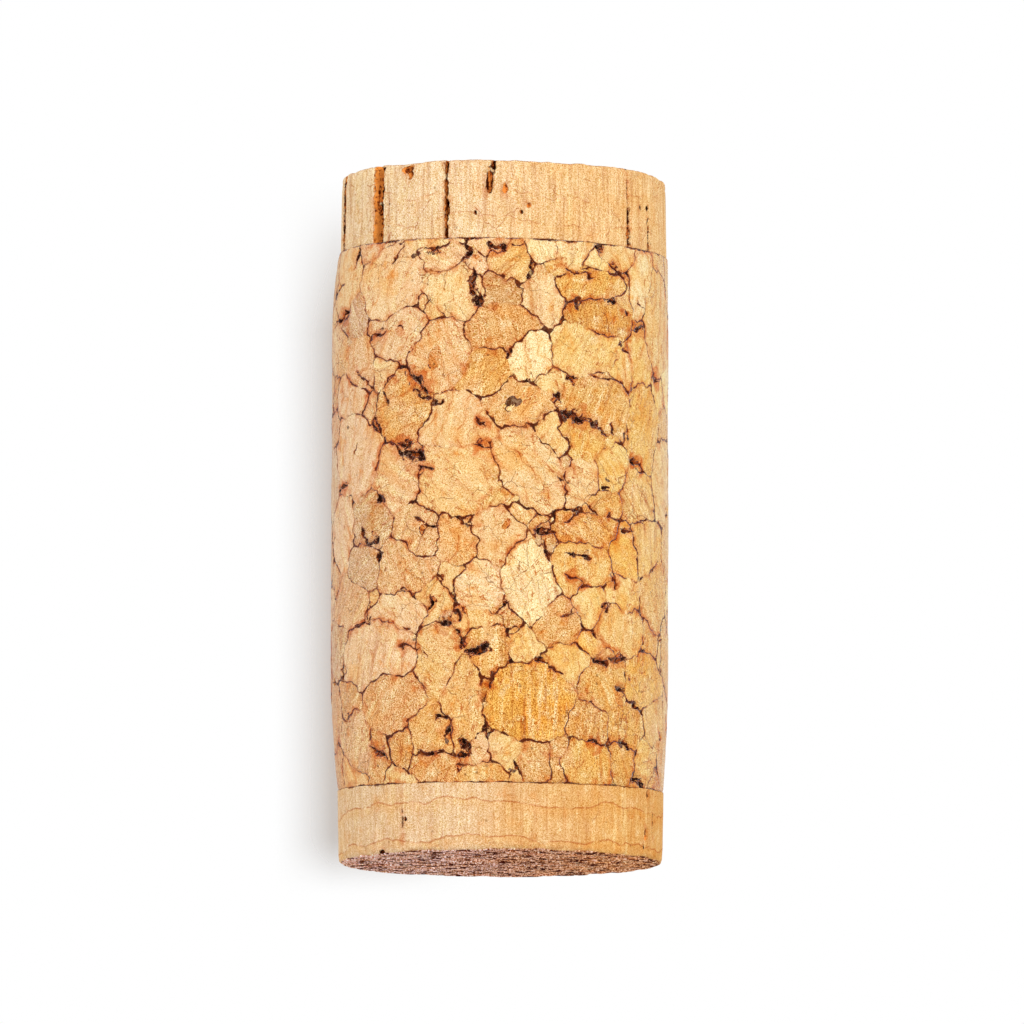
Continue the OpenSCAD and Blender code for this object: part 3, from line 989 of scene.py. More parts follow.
def makeDisc(spec):
    # the side's rings, the end face within the last of them, and a cap on the first, glued one
    low, high = (corner[2] for corner in boxInMm(spec["node"]))
    glued, end = (low, high) if spec["upward"] > 0 else (high, low)
    side, lastRadius, lastSag, sideValues = discSide(glued, high - low, spec)
    face, turn, faceValues = discFace(end, lastRadius, lastSag, spec)
    rows, columns = side.shape[:2]
    a, b, c, d = gridCorners(rows, columns)
    sideFaces = np.concatenate([faceList(a, b, c), faceList(a, c, d)])

    inside = np.zeros(turn.shape, bool)
    inside[1:-1, 1:-1] = True
    number = np.zeros(turn.shape, int)
    number[inside] = rows * columns + np.arange(inside.sum())
    onRing = np.round((turn[~inside] + math.pi / 2) / (2 * math.pi) * columns).astype(int) % columns
    number[~inside] = (rows - 1) * columns + onRing
    p, q, r, s = number[:-1, :-1], number[:-1, 1:], number[1:, 1:], number[1:, :-1]
    endFaces = np.concatenate([faceList(p, q, r), faceList(p, r, s)])
    surface = np.concatenate([side.reshape(-1, 3), face[inside]])
    surface, gluedFaces = endCap(np.arange(columns), np.array([0, 0, glued]), surface, True)
    triangles = np.concatenate([sideFaces, endFaces, gluedFaces])
    if spec["upward"] < 0:
        triangles = triangles[:, ::-1]

    extra = len(surface) - rows * columns - inside.sum()
    sideValues["pore"] = np.full((rows, columns), 9.0)
    sideValues["face"] = np.zeros((rows, columns))
    sideValues["face"][-3:] = 1
    sideValues["edge"] = np.abs(side[..., 2] - glued)
    faceValues["face"] = np.ones(turn.shape)
    faceValues["edge"] = np.full(turn.shape, 9.0)
    pointValues = {
        label: np.concatenate([sideValues[label].ravel(), faceValues[label][inside], np.full(extra, rest)])
        for label, rest in {"slit": 9, "side": 0, "dark": 0, "pore": 9, "face": 0, "edge": 0}.items()
    }
    up = discProfile(high - low, spec)[0]
    places = discPlaces(surface, triangles, len(sideFaces), len(endFaces), up, spec)
    return makeMesh(spec["name"], leanPoints(surface), triangles, pointValues, {}, places)


discs = {}
for spec in (topDisc, bottomDisc):
    discs[spec["node"]] = makeDisc(spec)
    seatPiece(discs[spec["node"]], spec["node"])


class Painter:
    # makes and links the nodes of one material, group or world; a number or a socket goes in, and
    # a socket comes back

    def __init__(self, tree):
        self.tree = tree

    def add(self, kind, inputs=None, **settings):
        made = self.tree.nodes.new(kind)
        for name, value in settings.items():
            setattr(made, name, value)
        for name, value in (inputs or {}).items():
            if isinstance(value, bpy.types.NodeSocket):
                self.tree.links.new(value, made.inputs[name])
            else:
                made.inputs[name].default_value = value
        return made

    def calc(self, operation, *values, clamp=False):
        # one sum of arithmetic, which the next few give by name
        made = self.add("ShaderNodeMath", dict(enumerate(values)), operation=operation, use_clamp=clamp)
        return made.outputs[0]

    def times(self, first, *others, clamp=False):
        rest = self.times(*others) if len(others) > 1 else others[0]
        return self.calc("MULTIPLY", first, rest, clamp=clamp)

    def plus(self, first, *others):
        rest = self.plus(*others) if len(others) > 1 else others[0]
        return self.calc("ADD", first, rest)

    def less(self, first, second):
        return self.calc("SUBTRACT", first, second)

    def most(self, first, second):
        return self.calc("MAXIMUM", first, second)

    def size(self, value):
        return self.calc("ABSOLUTE", value)

    def scaled(self, value, factor, offset):
        # the value times the factor, plus the offset
        return self.calc("MULTIPLY_ADD", value, factor, offset)

    def slope(self, value, low, high, lowest=0.0, highest=1.0, curve="LINEAR"):
        # a straight rise from lowest to highest as the value goes from low to high
        inputs = {0: value, 1: low, 2: high, 3: lowest, 4: highest}
        return self.add("ShaderNodeMapRange", inputs, interpolation_type=curve).outputs[0]

    def ramp(self, value, low, high, lowest=0.0, highest=1.0):
        # the same rise, smooth at both ends
        return self.slope(value, low, high, lowest, highest, "SMOOTHSTEP")

    def stretch(self, vector, scale):
        # the vector times the scale, axis by axis
        inputs = {"Vector": vector, "Scale": scale}
        return self.add("ShaderNodeMapping", inputs, vector_type="POINT").outputs[0]

    def noise(self, vector, scale, detail=2.0, rough=0.5):
        # a value about 0.5, in waves of one over the scale
        inputs = {"Vector": vector, "Scale": scale, "Detail": detail, "Roughness": rough}
        return self.add("ShaderNodeTexNoise", inputs, noise_dimensions="3D").outputs[0]

    def split(self, vector):
        return self.add("ShaderNodeSeparateXYZ", {0: vector}).outputs

    def attribute(self, name, output="Fac"):
        return self.add("ShaderNodeAttribute", attribute_name=name).outputs[output]

    def paint(self, color, share, over, mode="MIX"):
        # lays another colour, or the stain of that name, over that share of the colour
        over = screenColor(corkStains[over]) if isinstance(over, str) else over
        made = self.add("ShaderNodeMix", {0: share, 6: color, 7: over}, data_type="RGBA", blend_type=mode)
        return made.outputs[2]

    def soak(self, color, share, over):
        # the same, but the stain multiplies the colour
        return self.paint(color, share, over, "MULTIPLY")

    def darken(self, color, value, shares, middle=1.0, least=None):
        # multiplies red, green and blue by the middle plus their own shares of the value
        levels = [self.scaled(value, share, middle) for share in shares]
        if least is not None:
            levels = [self.most(level, least) for level in levels]
        made = self.add("ShaderNodeCombineColor", dict(enumerate(levels)))
        return self.soak(color, 1.0, made.outputs[0])

    def group(self, tree, inputs):
        return self.add("ShaderNodeGroup", inputs, node_tree=tree).outputs


def screenColor(color):
    # the colour as light, with a fourth number for opaque
    return (*toLinear(color), 1.0)


def makeGroup(name, inputs, outputs):
    # inputs are names with their usual value, which is None for a vector and four numbers for a colour
    tree = bpy.data.node_groups.new(name, "ShaderNodeTree")
    for label, value in inputs.items():
        kind = {type(None): "Vector", tuple: "Color"}.get(type(value), "Float")
        socket = tree.interface.new_socket(label, in_out="INPUT", socket_type="NodeSocket" + kind)
        if value is not None:
            socket.default_value = value
    for label in outputs:
        kind = "NodeSocketColor" if label == "Color" else "NodeSocketFloat"
        tree.interface.new_socket(label, in_out="OUTPUT", socket_type=kind)
    given = tree.nodes.new("NodeGroupInput").outputs
    return tree, Painter(tree), given, tree.nodes.new("NodeGroupOutput").inputs


# Screen colours of what lies in and on the cork, and of painted highlight and shade
corkStains = {
    "cream": (0.985, 0.885, 0.64),
    "fibre": (0.74, 0.47, 0.25),
    "growth": (0.80, 0.50, 0.22),
    "golden": (0.99, 0.87, 0.61),
    "orange": (0.955, 0.77, 0.465),
    "pink": (0.93, 0.74, 0.57),
    "bloom": (0.985, 0.88, 0.68),
    "pit": (0.42, 0.24, 0.10),
    "tornHighlight": (0.97, 0.80, 0.74),
    "fringe": (0.80, 0.49, 0.22),
    "line": (0.34, 0.09, 0.0),
    "lineLight": (0.60, 0.30, 0.10),
    "hair": (0.56, 0.28, 0.06),
    "core": (0.17, 0.05, 0.01),
    "crumb": (0.66, 0.31, 0.10),
    "crumbGrey": (0.56, 0.40, 0.30),
    "rust": (0.88, 0.545, 0.24),
    "channel": (0.99, 0.62, 0.28),
    "rustDeep": (0.56, 0.23, 0.08),
    "barkGrey": (0.66, 0.52, 0.40),
}


def mottleFlesh(draw, color, point, grain, mottle):
    # soft patches by a broad and a middling noise, and pale and brown layers along the grain
    broad = draw.noise(point, 0.4, 2)
    middle = draw.noise(point, 0.85, 5, 0.66)
    color = draw.soak(color, draw.times(draw.ramp(broad, 0.5, 0.7), mottle, 0.5), "golden")
    color = draw.paint(color, draw.times(draw.ramp(broad, 0.48, 0.3), mottle, 0.3), "pink")
    color = draw.soak(color, draw.times(draw.ramp(middle, 0.54, 0.7), mottle, 0.7, clamp=True), "orange")
    color = draw.paint(color, draw.times(draw.ramp(middle, 0.47, 0.28), mottle, 0.6, clamp=True), "bloom")
    layers = draw.noise(draw.stretch(grain, (0.22, 1.3, 1.3)), 1.0, 5, 0.68)
    color = draw.paint(color, draw.times(draw.ramp(layers, 0.46, 0.3), mottle, 0.55, clamp=True), "cream")
    color = draw.soak(color, draw.times(draw.ramp(layers, 0.56, 0.7), mottle, 0.5, clamp=True), "orange")
    return color, middle


def paintShadedFolds(draw, color, point, grain, foldShading):
    # where a noise crosses its middle, a pale crest of painted highlight on one side of the line and
    # a brown crease of painted shade on the other
    for size, strength in ((0.75, 0.45), (1.7, 0.3)):
        fold = draw.noise(draw.stretch(grain, (0.5 * size, size, size)), 1.0, 3, 0.6)
        some = draw.times(draw.ramp(draw.noise(point, 0.9, 2), 0.42, 0.56), foldShading)
        litCrest = draw.times(draw.ramp(fold, 0.5, 0.51), draw.ramp(fold, 0.57, 0.51))
        shadedCrease = draw.times(draw.ramp(fold, 0.478, 0.497), draw.ramp(fold, 0.503, 0.498))
        color = draw.paint(color, draw.times(litCrest, some, strength), "cream")
        color = draw.soak(color, draw.times(shadedCrease, some, clamp=True), "growth")
    return color


def growFlesh(draw, color, point, grain, middle, growth):
    # growth lines, where a sine across the grain, bent by a noise, is near nought; bands beside them
    across = draw.split(draw.stretch(grain, (0.12, 1.0, 1.0)))
    bend = draw.times(draw.noise(point, 0.42, 2), 3.0)
    rings = draw.plus(draw.plus(across[1], across[0]), bend, across[2])
    ripple = draw.size(draw.calc("SINE", draw.times(rings, 2.3)))
    color = draw.soak(color, draw.times(draw.ramp(ripple, 0.75, 0.1), growth, 0.35), "orange")
    ring = draw.times(draw.ramp(ripple, 0.11, 0.02), draw.ramp(middle, 0.4, 0.56))
    ring = draw.times(ring, growth, clamp=True)
    return draw.soak(color, draw.times(ring, 0.75), "growth")


def makeFleshGroup():
    # cork's own flesh: soft mottling, fibres along the grain, folds painted as lit crests and shaded
    # creases, growth lines, pits, and grit that darkens red least and blue most
    tree, draw, given, made = makeGroup("corkFlesh", {
        "Color": (0.8, 0.5, 0.2, 1), "Point": None, "Grain": None, "Mottle": 1.0, "Fibres": 1.0,
        "Growth": 1.0, "Speckle": 1.0, "FoldShading": 0.5,
    }, ["Color", "Height"])
    point, grain, fibres = given["Point"], given["Grain"], given["Fibres"]
    color, middle = mottleFlesh(draw, given["Color"], point, grain, given["Mottle"])
    long = draw.noise(draw.stretch(grain, (0.22, 2.6, 2.6)), 1.0, 4, 0.68)
    fibre = draw.times(draw.ramp(long, 0.5, 0.68), fibres)
    color = draw.soak(color, draw.times(fibre, 0.5, clamp=True), "fibre")
    color = draw.paint(color, draw.times(draw.ramp(long, 0.47, 0.32), fibres, 0.35, clamp=True), "bloom")
    color = paintShadedFolds(draw, color, point, grain, given["FoldShading"])
    color = growFlesh(draw, color, point, grain, middle, given["Growth"])

    fine, finest = draw.noise(point, 5.0, 1, 0.5), draw.noise(point, 13.5, 0)
    grit = draw.plus(draw.times(draw.less(fine, 0.5), 0.2), draw.times(draw.less(finest, 0.5), 2.0))
    grit = draw.times(grit, given["Speckle"])
    color = draw.darken(color, grit, (0.72, 1.15, 2.0))
    pits = 0.0
    for size, often in ((3.4, 0.5), (1.3, 0.62)):
        cells = draw.add("ShaderNodeTexVoronoi", {"Vector": point, "Scale": size}, feature="F1").outputs
        luck = draw.add("ShaderNodeSeparateColor", {0: cells["Color"]}).outputs[0]
        pit = draw.times(draw.ramp(cells["Distance"], 0.17, 0.08), draw.ramp(luck, often, often + 0.25))
        pits = draw.most(pits, pit)
    pits = draw.times(pits, given["Speckle"], clamp=True)
    color = draw.paint(color, draw.times(pits, 0.55), "pit")
    draw.tree.links.new(color, made["Color"])
    height = draw.plus(draw.times(grit, 0.45), draw.times(fibre, -0.35))
    draw.tree.links.new(draw.less(height, draw.times(pits, 0.5)), made["Height"])
    return tree


def makeRiftGroup():
    # a crack along Edge = 0, as wide as Gap, wandering and ragged by noise; Flank is 1 on one side of
    # it and -1 on the other. Line is the crack, Core its open part, Crumb what lies in it, Fringe
    # the brown beside it and Stain the rust further out, which Patchy adds here and there
    tree, draw, given, made = makeGroup("corkRift", {
        "Point": None, "Edge": 1.0, "Flank": 1.0, "Gap": 0.05, "Rust": 0.0, "Patchy": 0.0,
    }, ["Line", "Core", "Crumb", "Fringe", "Stain", "Height"])
    point, gap = given["Point"], given["Gap"]
    broad = draw.times(draw.noise(point, 2.2, 2, 0.55), 0.6)
    rough = draw.scaled(draw.noise(point, 5.5, 2, 0.6), 0.4, broad)
    coarse = draw.noise(point, 1.7, 2)
    patch = draw.noise(point, 0.8, 1)
    wander = draw.scaled(draw.noise(point, 2.4, 3, 0.65), 0.22, -0.11)
    edge = draw.size(draw.scaled(given["Edge"], given["Flank"], wander))
    reach = draw.times(gap, draw.scaled(rough, 4.9, -1.4))
    outside = draw.less(edge, reach)
    line = draw.times(draw.ramp(outside, 0.014, -0.012), draw.ramp(gap, 0.003, 0.022))
    within = draw.less(edge, draw.times(reach, 0.72))
    core = draw.times(draw.ramp(within, 0.03, -0.04), draw.ramp(gap, 0.05, 0.12))
    crumb = draw.times(draw.ramp(draw.noise(point, 3.4, 2, 0.6), 0.52, 0.58), draw.ramp(gap, 0.06, 0.12))
    crumb = draw.times(crumb, line)
    fringe = draw.times(draw.ramp(outside, 0.11, 0.0), draw.ramp(coarse, 0.36, 0.6))
    fringe = draw.times(fringe, draw.ramp(gap, 0.0, 0.02))
    halo = draw.scaled(coarse, 0.8, draw.scaled(gap, 3.0, -0.08))
    stain = draw.times(draw.ramp(patch, 0.5, 0.66, 0.0, 0.8), given["Patchy"])
    stain = draw.most(draw.times(given["Rust"], draw.ramp(gap, -0.2, 0.04)), stain)
    stain = draw.times(draw.ramp(draw.less(edge, halo), 0.1, -0.3), stain)
    stain = draw.times(stain, draw.ramp(rough, 0.32, 0.5, 0.45, 1.0))
    height = draw.plus(draw.times(line, -1.2), draw.times(crumb, 0.5))
    for label, value in zip(("Line", "Core", "Crumb", "Fringe", "Stain", "Height"),
                            (line, core, crumb, fringe, stain, height)):
        tree.links.new(value, made[label])
    return tree


def makeHairlineGroup():
    # thin broken cracks: the borders of large warped cells, kept where a broad noise is high
    tree, draw, given, made = makeGroup("corkHairline", {
        "Point": None, "Scale": 0.5, "Width": 0.02, "Amount": 0.5,
    }, ["Line"])
    point, scale = given["Point"], given["Scale"]
    bend = draw.add("ShaderNodeTexNoise", {"Vector": point, "Scale": 0.9, "Detail": 3.0}).outputs["Color"]
    bent = draw.add("ShaderNodeVectorMath", {0: bend, 1: (0.8, 0.8, 0.8), 2: point},
                    operation="MULTIPLY_ADD").outputs[0]
    cells = draw.add("ShaderNodeTexVoronoi", {"Vector": bent, "Scale": scale}, feature="DISTANCE_TO_EDGE")
    away = draw.calc("DIVIDE", cells.outputs["Distance"], scale)
    line = draw.ramp(draw.calc("DIVIDE", away, given["Width"]), 1.0, 0.3)
    keep = draw.less(draw.noise(point, 0.7, 2), draw.less(1.0, given["Amount"]))
    tree.links.new(draw.times(line, draw.ramp(keep, 0.0, 0.06)), made["Line"])
    return tree


fleshGroup = makeFleshGroup()
riftGroup = makeRiftGroup()
hairlineGroup = makeHairlineGroup()


def startMaterial(name, gloss, sheen):
    # what comes back last is the place on the piece in millimetres
    material = bpy.data.materials.new(name)
    material.use_nodes = True
    draw = Painter(material.node_tree)
    draw.tree.nodes.clear()
    shader = draw.add("ShaderNodeBsdfPrincipled", {
        "Specular IOR Level": gloss, "Sheen Weight": sheen, "Sheen Roughness": 0.3,
    })
    draw.add("ShaderNodeOutputMaterial", {"Surface": shader.outputs[0]})
    place = draw.add("ShaderNodeTexCoord").outputs["Object"]
    return material, draw, shader, draw.stretch(place, (1 / mm, 1 / mm, 1 / mm))


def finishMaterial(draw, shader, color, roughness, height, bump):
    relief = draw.add("ShaderNodeBump", {"Height": height, "Strength": 1.0, "Distance": bump * mm})
    for label, value in (("Base Color", color), ("Roughness", roughness), ("Normal", relief.outputs[0])):
        draw.tree.links.new(value, shader.inputs[label])


def granuleMaterial(spec):
    material, draw, shader, point = startMaterial("pressedGranules", spec["gloss"], spec["sheen"])
    tone, grain = draw.attribute("tone", "Color"), draw.attribute("grain", "Vector")
    gap, crack = draw.attribute("gap"), draw.split(draw.attribute("crack", "Vector"))
    shade = draw.add("ShaderNodeSeparateColor", {0: tone}).outputs[1]
    pick = draw.noise(draw.stretch(grain, (0, 0, 0.37)), 1.0, 0)     # one value for each granule
    other = draw.noise(draw.stretch(grain, (0, 0, 0.53)), 1.0, 0)
    flesh = draw.group(fleshGroup, {
        "Color": tone, "Point": point, "Grain": grain,
        "Mottle": draw.ramp(shade, 0.08, 0.35, 0.1, 1.15),
        "Fibres": draw.ramp(pick, 0.42, 0.66, 0.2, 1.1),
        "Growth": draw.ramp(pick, 0.62, 0.38, 0.15, 1.0),
        "Speckle": draw.ramp(shade, 0.6, 0.42, 0.6, 1.1),
        "FoldShading": draw.ramp(other, 0.34, 0.6, 0.5, 1.0),
    })
    seam = draw.group(riftGroup, {
        "Point": point, "Edge": draw.attribute("edge"), "Flank": draw.attribute("flank"), "Gap": gap,
        "Rust": draw.attribute("rust"), "Patchy": 0.8,
    })
    rift = draw.group(riftGroup, {"Point": point, "Edge": crack[0], "Gap": crack[1], "Rust": crack[2]})
    hair = draw.group(hairlineGroup, {
        "Point": point, "Scale": 0.52, "Width": 0.02, "Amount": draw.ramp(other, 0.38, 0.6, 0.38, 0.57),
    })
    line, core, crumb, fringe, stain = (
        draw.most(seam[label], rift[label]) for label in ("Line", "Core", "Crumb", "Fringe", "Stain")
    )
    barky = draw.times(draw.ramp(draw.noise(point, 2.8, 4, 0.7), 0.46, 0.6),
                       draw.ramp(shade, 0.2, 0.08, 0, 0.7))
    color = draw.paint(flesh["Color"], barky, "barkGrey")
    color = draw.soak(color, draw.times(stain, spec["stain"]), "rust")
    color = draw.soak(color, draw.times(fringe, spec["fringe"]), "fringe")
    color = draw.paint(color, draw.times(hair["Line"], spec["hairline"]), "hair")
    depth = draw.plus(draw.most(gap, draw.times(crack[1], 0.8)),
                      draw.scaled(draw.noise(point, 1.2, 2), 0.22, -0.11))
    dark = draw.paint(screenColor(corkStains["lineLight"]), draw.ramp(depth, 0.0, 0.035), "line")
    color = draw.paint(color, draw.times(line, 0.95), dark)
    color = draw.paint(color, core, "core")
    grey = draw.ramp(draw.noise(point, 1.1, 1), 0.5, 0.62)
    bits = draw.paint(screenColor(corkStains["crumb"]), grey, "crumbGrey")
    color = draw.paint(color, draw.times(crumb, 0.85), bits)
    roughness = draw.scaled(draw.noise(point, 2.2, 2), 0.25, 0.66)
    height = draw.plus(flesh["Height"], draw.calc("MINIMUM", seam["Height"], rift["Height"]))
    height = draw.less(height, draw.times(hair["Line"], 0.3))
    finishMaterial(draw, shader, color, roughness, height, 0.05)
    return material


def growthLines(draw, color, point, height, offFace, spec):
    # level lines round a disc, bent by a broad noise and broken by a finer one, each with a fainter
    # one beside it and a golden glow below
    bend = draw.less(draw.noise(draw.stretch(point, (1, 1, 0.25)), 0.22, 4, 0.5), 0.5)
    level = draw.plus(height, draw.times(bend, spec["ringWave"]))
    broken = draw.ramp(draw.noise(point, 0.8, 3, 0.65), spec["ringBreak"], spec["ringBreak"] + 0.14)
    mask = 0.0
    for ring in spec["rings"]:
        away = draw.size(draw.less(level, ring))
        mask = draw.most(mask, draw.ramp(away, 0.09, 0.015))
        beside = draw.size(draw.less(away, 0.45))
        mask = draw.most(mask, draw.ramp(beside, 0.08, 0.0, 0.0, 0.2))
        below = draw.less(ring, level)
        glow = draw.times(draw.ramp(below, -0.05, 0.08), draw.ramp(below, 1.1, 0.1))
        color = draw.soak(color, draw.times(glow, spec["glow"]), "golden")
    mask = draw.times(draw.times(mask, broken), offFace)
    return draw.soak(color, draw.times(mask, spec["ringStrength"]), "growth")


def shadeTornCells(draw, color, point, onFace, spec):
    # the end face: dark streaks of painted shade where cells were torn out, pale ones of painted
    # highlight where they stand up, and grit
    streak = draw.noise(draw.stretch(point, (0.5, 0.8, 1)), 1.0, 2, 0.65)
    short = draw.noise(draw.stretch(point, (1.8, 1.0, 1)), 1.0, 2, 0.7)
    strength = draw.times(onFace, spec["paintedTornRelief"])
    paintedTornRelief = draw.times(draw.ramp(streak, 0.46, 0.56), draw.ramp(short, 0.44, 0.52))
    color = draw.paint(color, draw.times(paintedTornRelief, strength, clamp=True), "line")
    raisedHighlight = draw.times(draw.ramp(short, 0.47, 0.36), draw.times(strength, 0.5), clamp=True)
    color = draw.paint(color, raisedHighlight, "tornHighlight")
    grit = draw.less(draw.noise(draw.stretch(point, (7.0, 1.0, 1)), 1.0, 1), 0.5)
    return draw.darken(color, draw.times(grit, strength), (3.2, 4.6, 6.2), 1.08, 0.02)


def discOpenings(draw, color, point):
    # channels and pits with a rusty halo, orange to nearly black inside and darker towards each one's
    # right wall, which is painted shade, and the end face's pores
    slit, side, dark = (draw.attribute(label) for label in ("slit", "side", "dark"))
    rough = draw.noise(point, 4.5, 3, 0.7)
    ragged = draw.scaled(rough, 0.16, draw.less(slit, 0.08))
    inSlit = draw.ramp(ragged, 0.03, -0.03)
    halo = draw.times(draw.ramp(ragged, 0.42, 0.0), draw.ramp(draw.noise(point, 1.4, 2), 0.4, 0.7))
    color = draw.soak(color, draw.times(halo, 0.5), "rust")
    grain = draw.noise(draw.stretch(point, (1, 1, 0.6)), 3.2, 4, 0.75)
    # painted shade: the side term makes each opening darker towards its right wall
    darkness = draw.plus(draw.scaled(side, 0.35, draw.times(dark, 1.3)), draw.scaled(grain, 5.0, -2.5))
    inside = draw.paint(screenColor(corkStains["channel"]), draw.ramp(darkness, 0.1, 0.75), "rustDeep")
    inside = draw.paint(inside, draw.ramp(darkness, 0.55, 1.15), "core")
    color = draw.paint(color, inSlit, inside)
    pore = draw.scaled(rough, 0.14, draw.less(draw.attribute("pore"), 0.07))
    inPore = draw.ramp(pore, 0.04, -0.04)
    color = draw.soak(color, draw.times(draw.ramp(pore, 0.35, 0.0), 0.35), "rust")
    return draw.paint(color, draw.times(inPore, 0.85), "line"), draw.plus(inSlit, inPore)


def discMaterial(name, spec):
    material, draw, shader, point = startMaterial(name, 0.0, 0.05)
    onFace = draw.attribute("face")
    offFace = draw.less(1.0, onFace)
    place = draw.split(point)
    axial = draw.add("ShaderNodeCombineXYZ", {0: place[2], 1: place[0], 2: place[1]}).outputs[0]
    base = draw.paint(screenColor(spec["side"]), onFace, screenColor(spec["end"]))
    # partly painted light: besides a broad noise, the discs turn more golden towards the right (+X), for
    # warmer light there
    golden = draw.scaled(draw.noise(point, 0.16, 1), 10.0, draw.less(place[0], 5.0))
    base = draw.soak(base, draw.times(draw.ramp(golden, -7.0, 9.0), spec["golden"]), "golden")
    flesh = draw.group(fleshGroup, {
        "Color": base, "Point": point, "Grain": axial, "Mottle": spec["mottle"], "Fibres": spec["fibres"],
        "Growth": 0.0, "Speckle": draw.ramp(onFace, 0, 1, spec["speckle"], spec["endSpeckle"]),
        "FoldShading": spec["foldShading"],
    })
    lines = draw.less(draw.noise(draw.stretch(axial, (0.35, 6.5, 6.5)), 1.0, 1), 0.5)
    color = draw.darken(flesh["Color"], draw.times(lines, offFace), (0.35, 0.6, 0.95))
    color = growthLines(draw, color, point, place[2], offFace, spec)
    hair = draw.group(hairlineGroup, {
        "Point": draw.stretch(point, (1, 1, 0.5)), "Scale": 0.35, "Width": 0.03,
        "Amount": spec["hairlines"],
    })
    color = draw.soak(color, draw.times(hair["Line"], 0.6), "fibre")
    color = shadeTornCells(draw, color, point, onFace, spec)
    color, openings = discOpenings(draw, color, point)
    rift = draw.group(riftGroup, {
        "Point": point, "Edge": draw.attribute("edge"), "Rust": 0.0,
        "Gap": draw.ramp(draw.noise(point, 0.6, 2), 0.35, 0.7, 0.0, 0.06),
    })
    color = draw.soak(color, draw.times(rift["Fringe"], 0.4), "fringe")
    color = draw.paint(color, draw.times(rift["Line"], 0.85), "line")
    roughness = draw.scaled(draw.noise(point, 2.2, 2), 0.22, 0.66)
    finishMaterial(draw, shader, color, roughness, draw.less(flesh["Height"], openings), 0.045)
    return material


body.data.materials.append(granuleMaterial(granuleBody))
discs["top_disc"].data.materials.append(discMaterial("naturalCorkTop", topDisc))
discs["bottom_disc"].data.materials.append(discMaterial("naturalCorkBottom", bottomDisc))
print("materials made")

stageLight = {
    "above": 0.80,           # how bright the room is from above, and from below
    "below": 0.62,
    "lamps": {               # watts, size, and place from the stopper's middle
        "keyLamp": (1.15, 220.0, (210.0, -460.0, 120.0)),
        "sideLamp": (0.48, 300.0, (-450.0, -130.0, 60.0)),
        "backLamp": (0.5, 400.0, (150.0, 480.0, 200.0)),
    },
    "cardBehind": 0.4,       # gap between the stopper's back and the shadow card
    "cardWidth": 24.0,       # from the axis to the left
    "cardLow": -3.0,
    "cardHigh": 52.0,
    # the shadow card's grey, faded as the shadow keys below say, paints most of the shadow beside the
    # stopper
    "paintedShadowTone": 0.59,
    "shadowWidth": 4.3,      # how far the shadow shows beside the stopper
    "shadowTop": ((50.5, 0.0), (39.5, 0.72), (16.0, 1.1)),    # heights, and how strong it is there
    "shadowFoot": (-1.4, 3.4),    # heights between which it grows to its full strength
    "floorGlow": 0.24,
    "floorLevel": 0.05,
    "floorReach": 800.0,
}


def makeWorld(spec):
    # white to the camera and to mirrors; to everything else a grey that falls from above to below
    world = bpy.data.worlds.new("studio")
    bpy.context.scene.world = world
    world.use_nodes = True
    draw = Painter(world.node_tree)
    draw.tree.nodes.clear()
    path = draw.add("ShaderNodeLightPath").outputs
    seen = draw.most(path["Is Camera Ray"], draw.most(path["Is Glossy Ray"], path["Is Transmission Ray"]))
    direction = draw.split(draw.add("ShaderNodeTexCoord").outputs["Generated"])[2]
    level = draw.ramp(direction, -0.6, 0.6, spec["below"], spec["above"])
    grey = draw.add("ShaderNodeCombineColor", {0: level, 1: level, 2: level}).outputs[0]
    color = draw.paint(grey, seen, (1, 1, 1, 1))
    background = draw.add("ShaderNodeBackground", {"Color": color, "Strength": 1.0})
    draw.add("ShaderNodeOutputWorld", {0: background.outputs[0]})


def makeLamp(name, watts, size, place):
    # a round lamp, placed from the stopper's middle and facing it
    data = bpy.data.lights.new(name, "AREA")
    data.shape = "DISK"
    data.size = size * mm
    data.energy = watts
    lamp = bpy.data.objects.new(name, data)
    bpy.context.scene.collection.objects.link(lamp)
    lamp.location = (np.array(place) + (0, 0, topHigh[2] / 2)) * mm
    tilt = math.atan2(math.hypot(place[0], place[1]), place[2])
    lamp.rotation_euler = (tilt, 0, math.atan2(place[0], -place[1]))
    lamp.visible_camera = False


def paperMaterial(name, tone, glow, fade):
    # warm paper of the tone given, white on the floor and grey on the shadow card, where it paints
    # shade; it glows a little, only its face shows, and not where it fades
    material = bpy.data.materials.new(name)
    material.use_nodes = True
    draw = Painter(material.node_tree)
    draw.tree.nodes.clear()
    diffuse = draw.add("ShaderNodeBsdfDiffuse", {"Color": (tone, 0.985 * tone, 0.975 * tone, 1)})
    glowing = draw.add("ShaderNodeEmission", {"Color": (1, 1, 1, 1), "Strength": glow})
    both = draw.add("ShaderNodeAddShader", {0: diffuse.outputs[0], 1: glowing.outputs[0]})
    clear = draw.add("ShaderNodeBsdfTransparent")
    backfacing = draw.add("ShaderNodeNewGeometry").outputs["Backfacing"]
    hidden = draw.most(backfacing, fade(draw)) if fade else backfacing
    mixed = draw.add("ShaderNodeMixShader", {0: hidden, 1: both.outputs[0], 2: clear.outputs[0]})
    draw.add("ShaderNodeOutputMaterial", {0: mixed.outputs[0]})
    return material


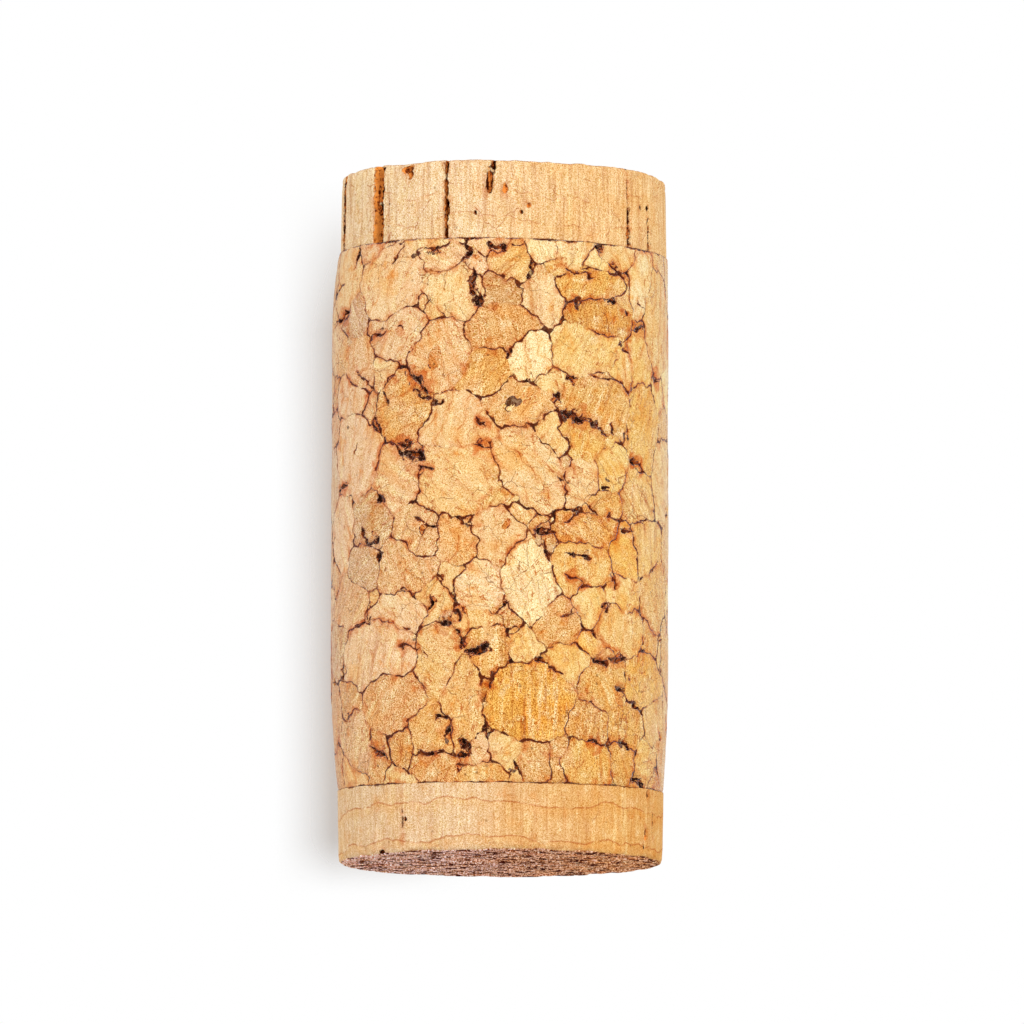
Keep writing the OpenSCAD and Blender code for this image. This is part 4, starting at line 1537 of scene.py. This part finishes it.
def makeSheet(name, corners, material):
    # seen by the camera alone, so it doesn't light or shade the stopper
    mesh = bpy.data.meshes.new(name)
    mesh.from_pydata([tuple(np.array(c) * mm) for c in corners], [], [(0, 1, 2, 3)])
    mesh.materials.append(material)
    sheet = bpy.data.objects.new(name, mesh)
    bpy.context.scene.collection.objects.link(sheet)
    sheet.visible_diffuse = False
    sheet.visible_glossy = False
    sheet.visible_transmission = False
    sheet.visible_shadow = False


def paintedShadowFade(draw, spec):
    # the card melts away towards its left, upper and lower borders, where it is behind the
    # stopper, and when it is seen from the side; where it stays, its grey paints the shadow beside the
    # stopper
    across, away, up = draw.split(draw.add("ShaderNodeTexCoord").outputs["Object"])
    shadowLeft = -bodyRadius - spec["shadowWidth"]
    left = draw.calc("POWER", draw.slope(across, shadowLeft * mm, -bodyRadius * mm), 1.5)
    facing = draw.add("ShaderNodeLayerWeight", {"Blend": 0.5}).outputs["Facing"]
    left = draw.times(left, draw.ramp(facing, 0.5, 0.15))
    behind = draw.ramp(across, -1 * mm, -9 * mm)
    (top, none), (middle, some), (bottom, full) = spec["shadowTop"]
    high = draw.calc("MINIMUM", draw.slope(up, top * mm, middle * mm, none, some),
                     draw.slope(up, (middle - 0.5) * mm, bottom * mm, some, full))
    low = draw.ramp(up, spec["shadowFoot"][0] * mm, spec["shadowFoot"][1] * mm)
    return draw.less(1.0, draw.times(draw.times(left, behind), draw.times(high, low)))


def makeStage(spec):
    far, level = spec["floorReach"], spec["floorLevel"]
    floor = [(-far, -far, level), (far, -far, level), (far, far, level), (-far, far, level)]
    makeSheet("floor", floor, paperMaterial("floorPaper", 1.0, spec["floorGlow"], None))
    # the shadow card: a grey sheet whose fade paints the shadow beside the stopper
    left, behind = -spec["cardWidth"], bodyRadius + spec["cardBehind"]
    low, high = spec["cardLow"], spec["cardHigh"]
    card = [(left, behind, low), (0, behind, low), (0, behind, high), (left, behind, high)]
    fade = lambda draw: paintedShadowFade(draw, spec)
    makeSheet("shadowCard", card, paperMaterial("cardPaper", spec["paintedShadowTone"], 0.0, fade))
    for name, (watts, size, place) in spec["lamps"].items():
        makeLamp(name, watts, size, place)


makeWorld(stageLight)
makeStage(stageLight)
print("stage and lights made")
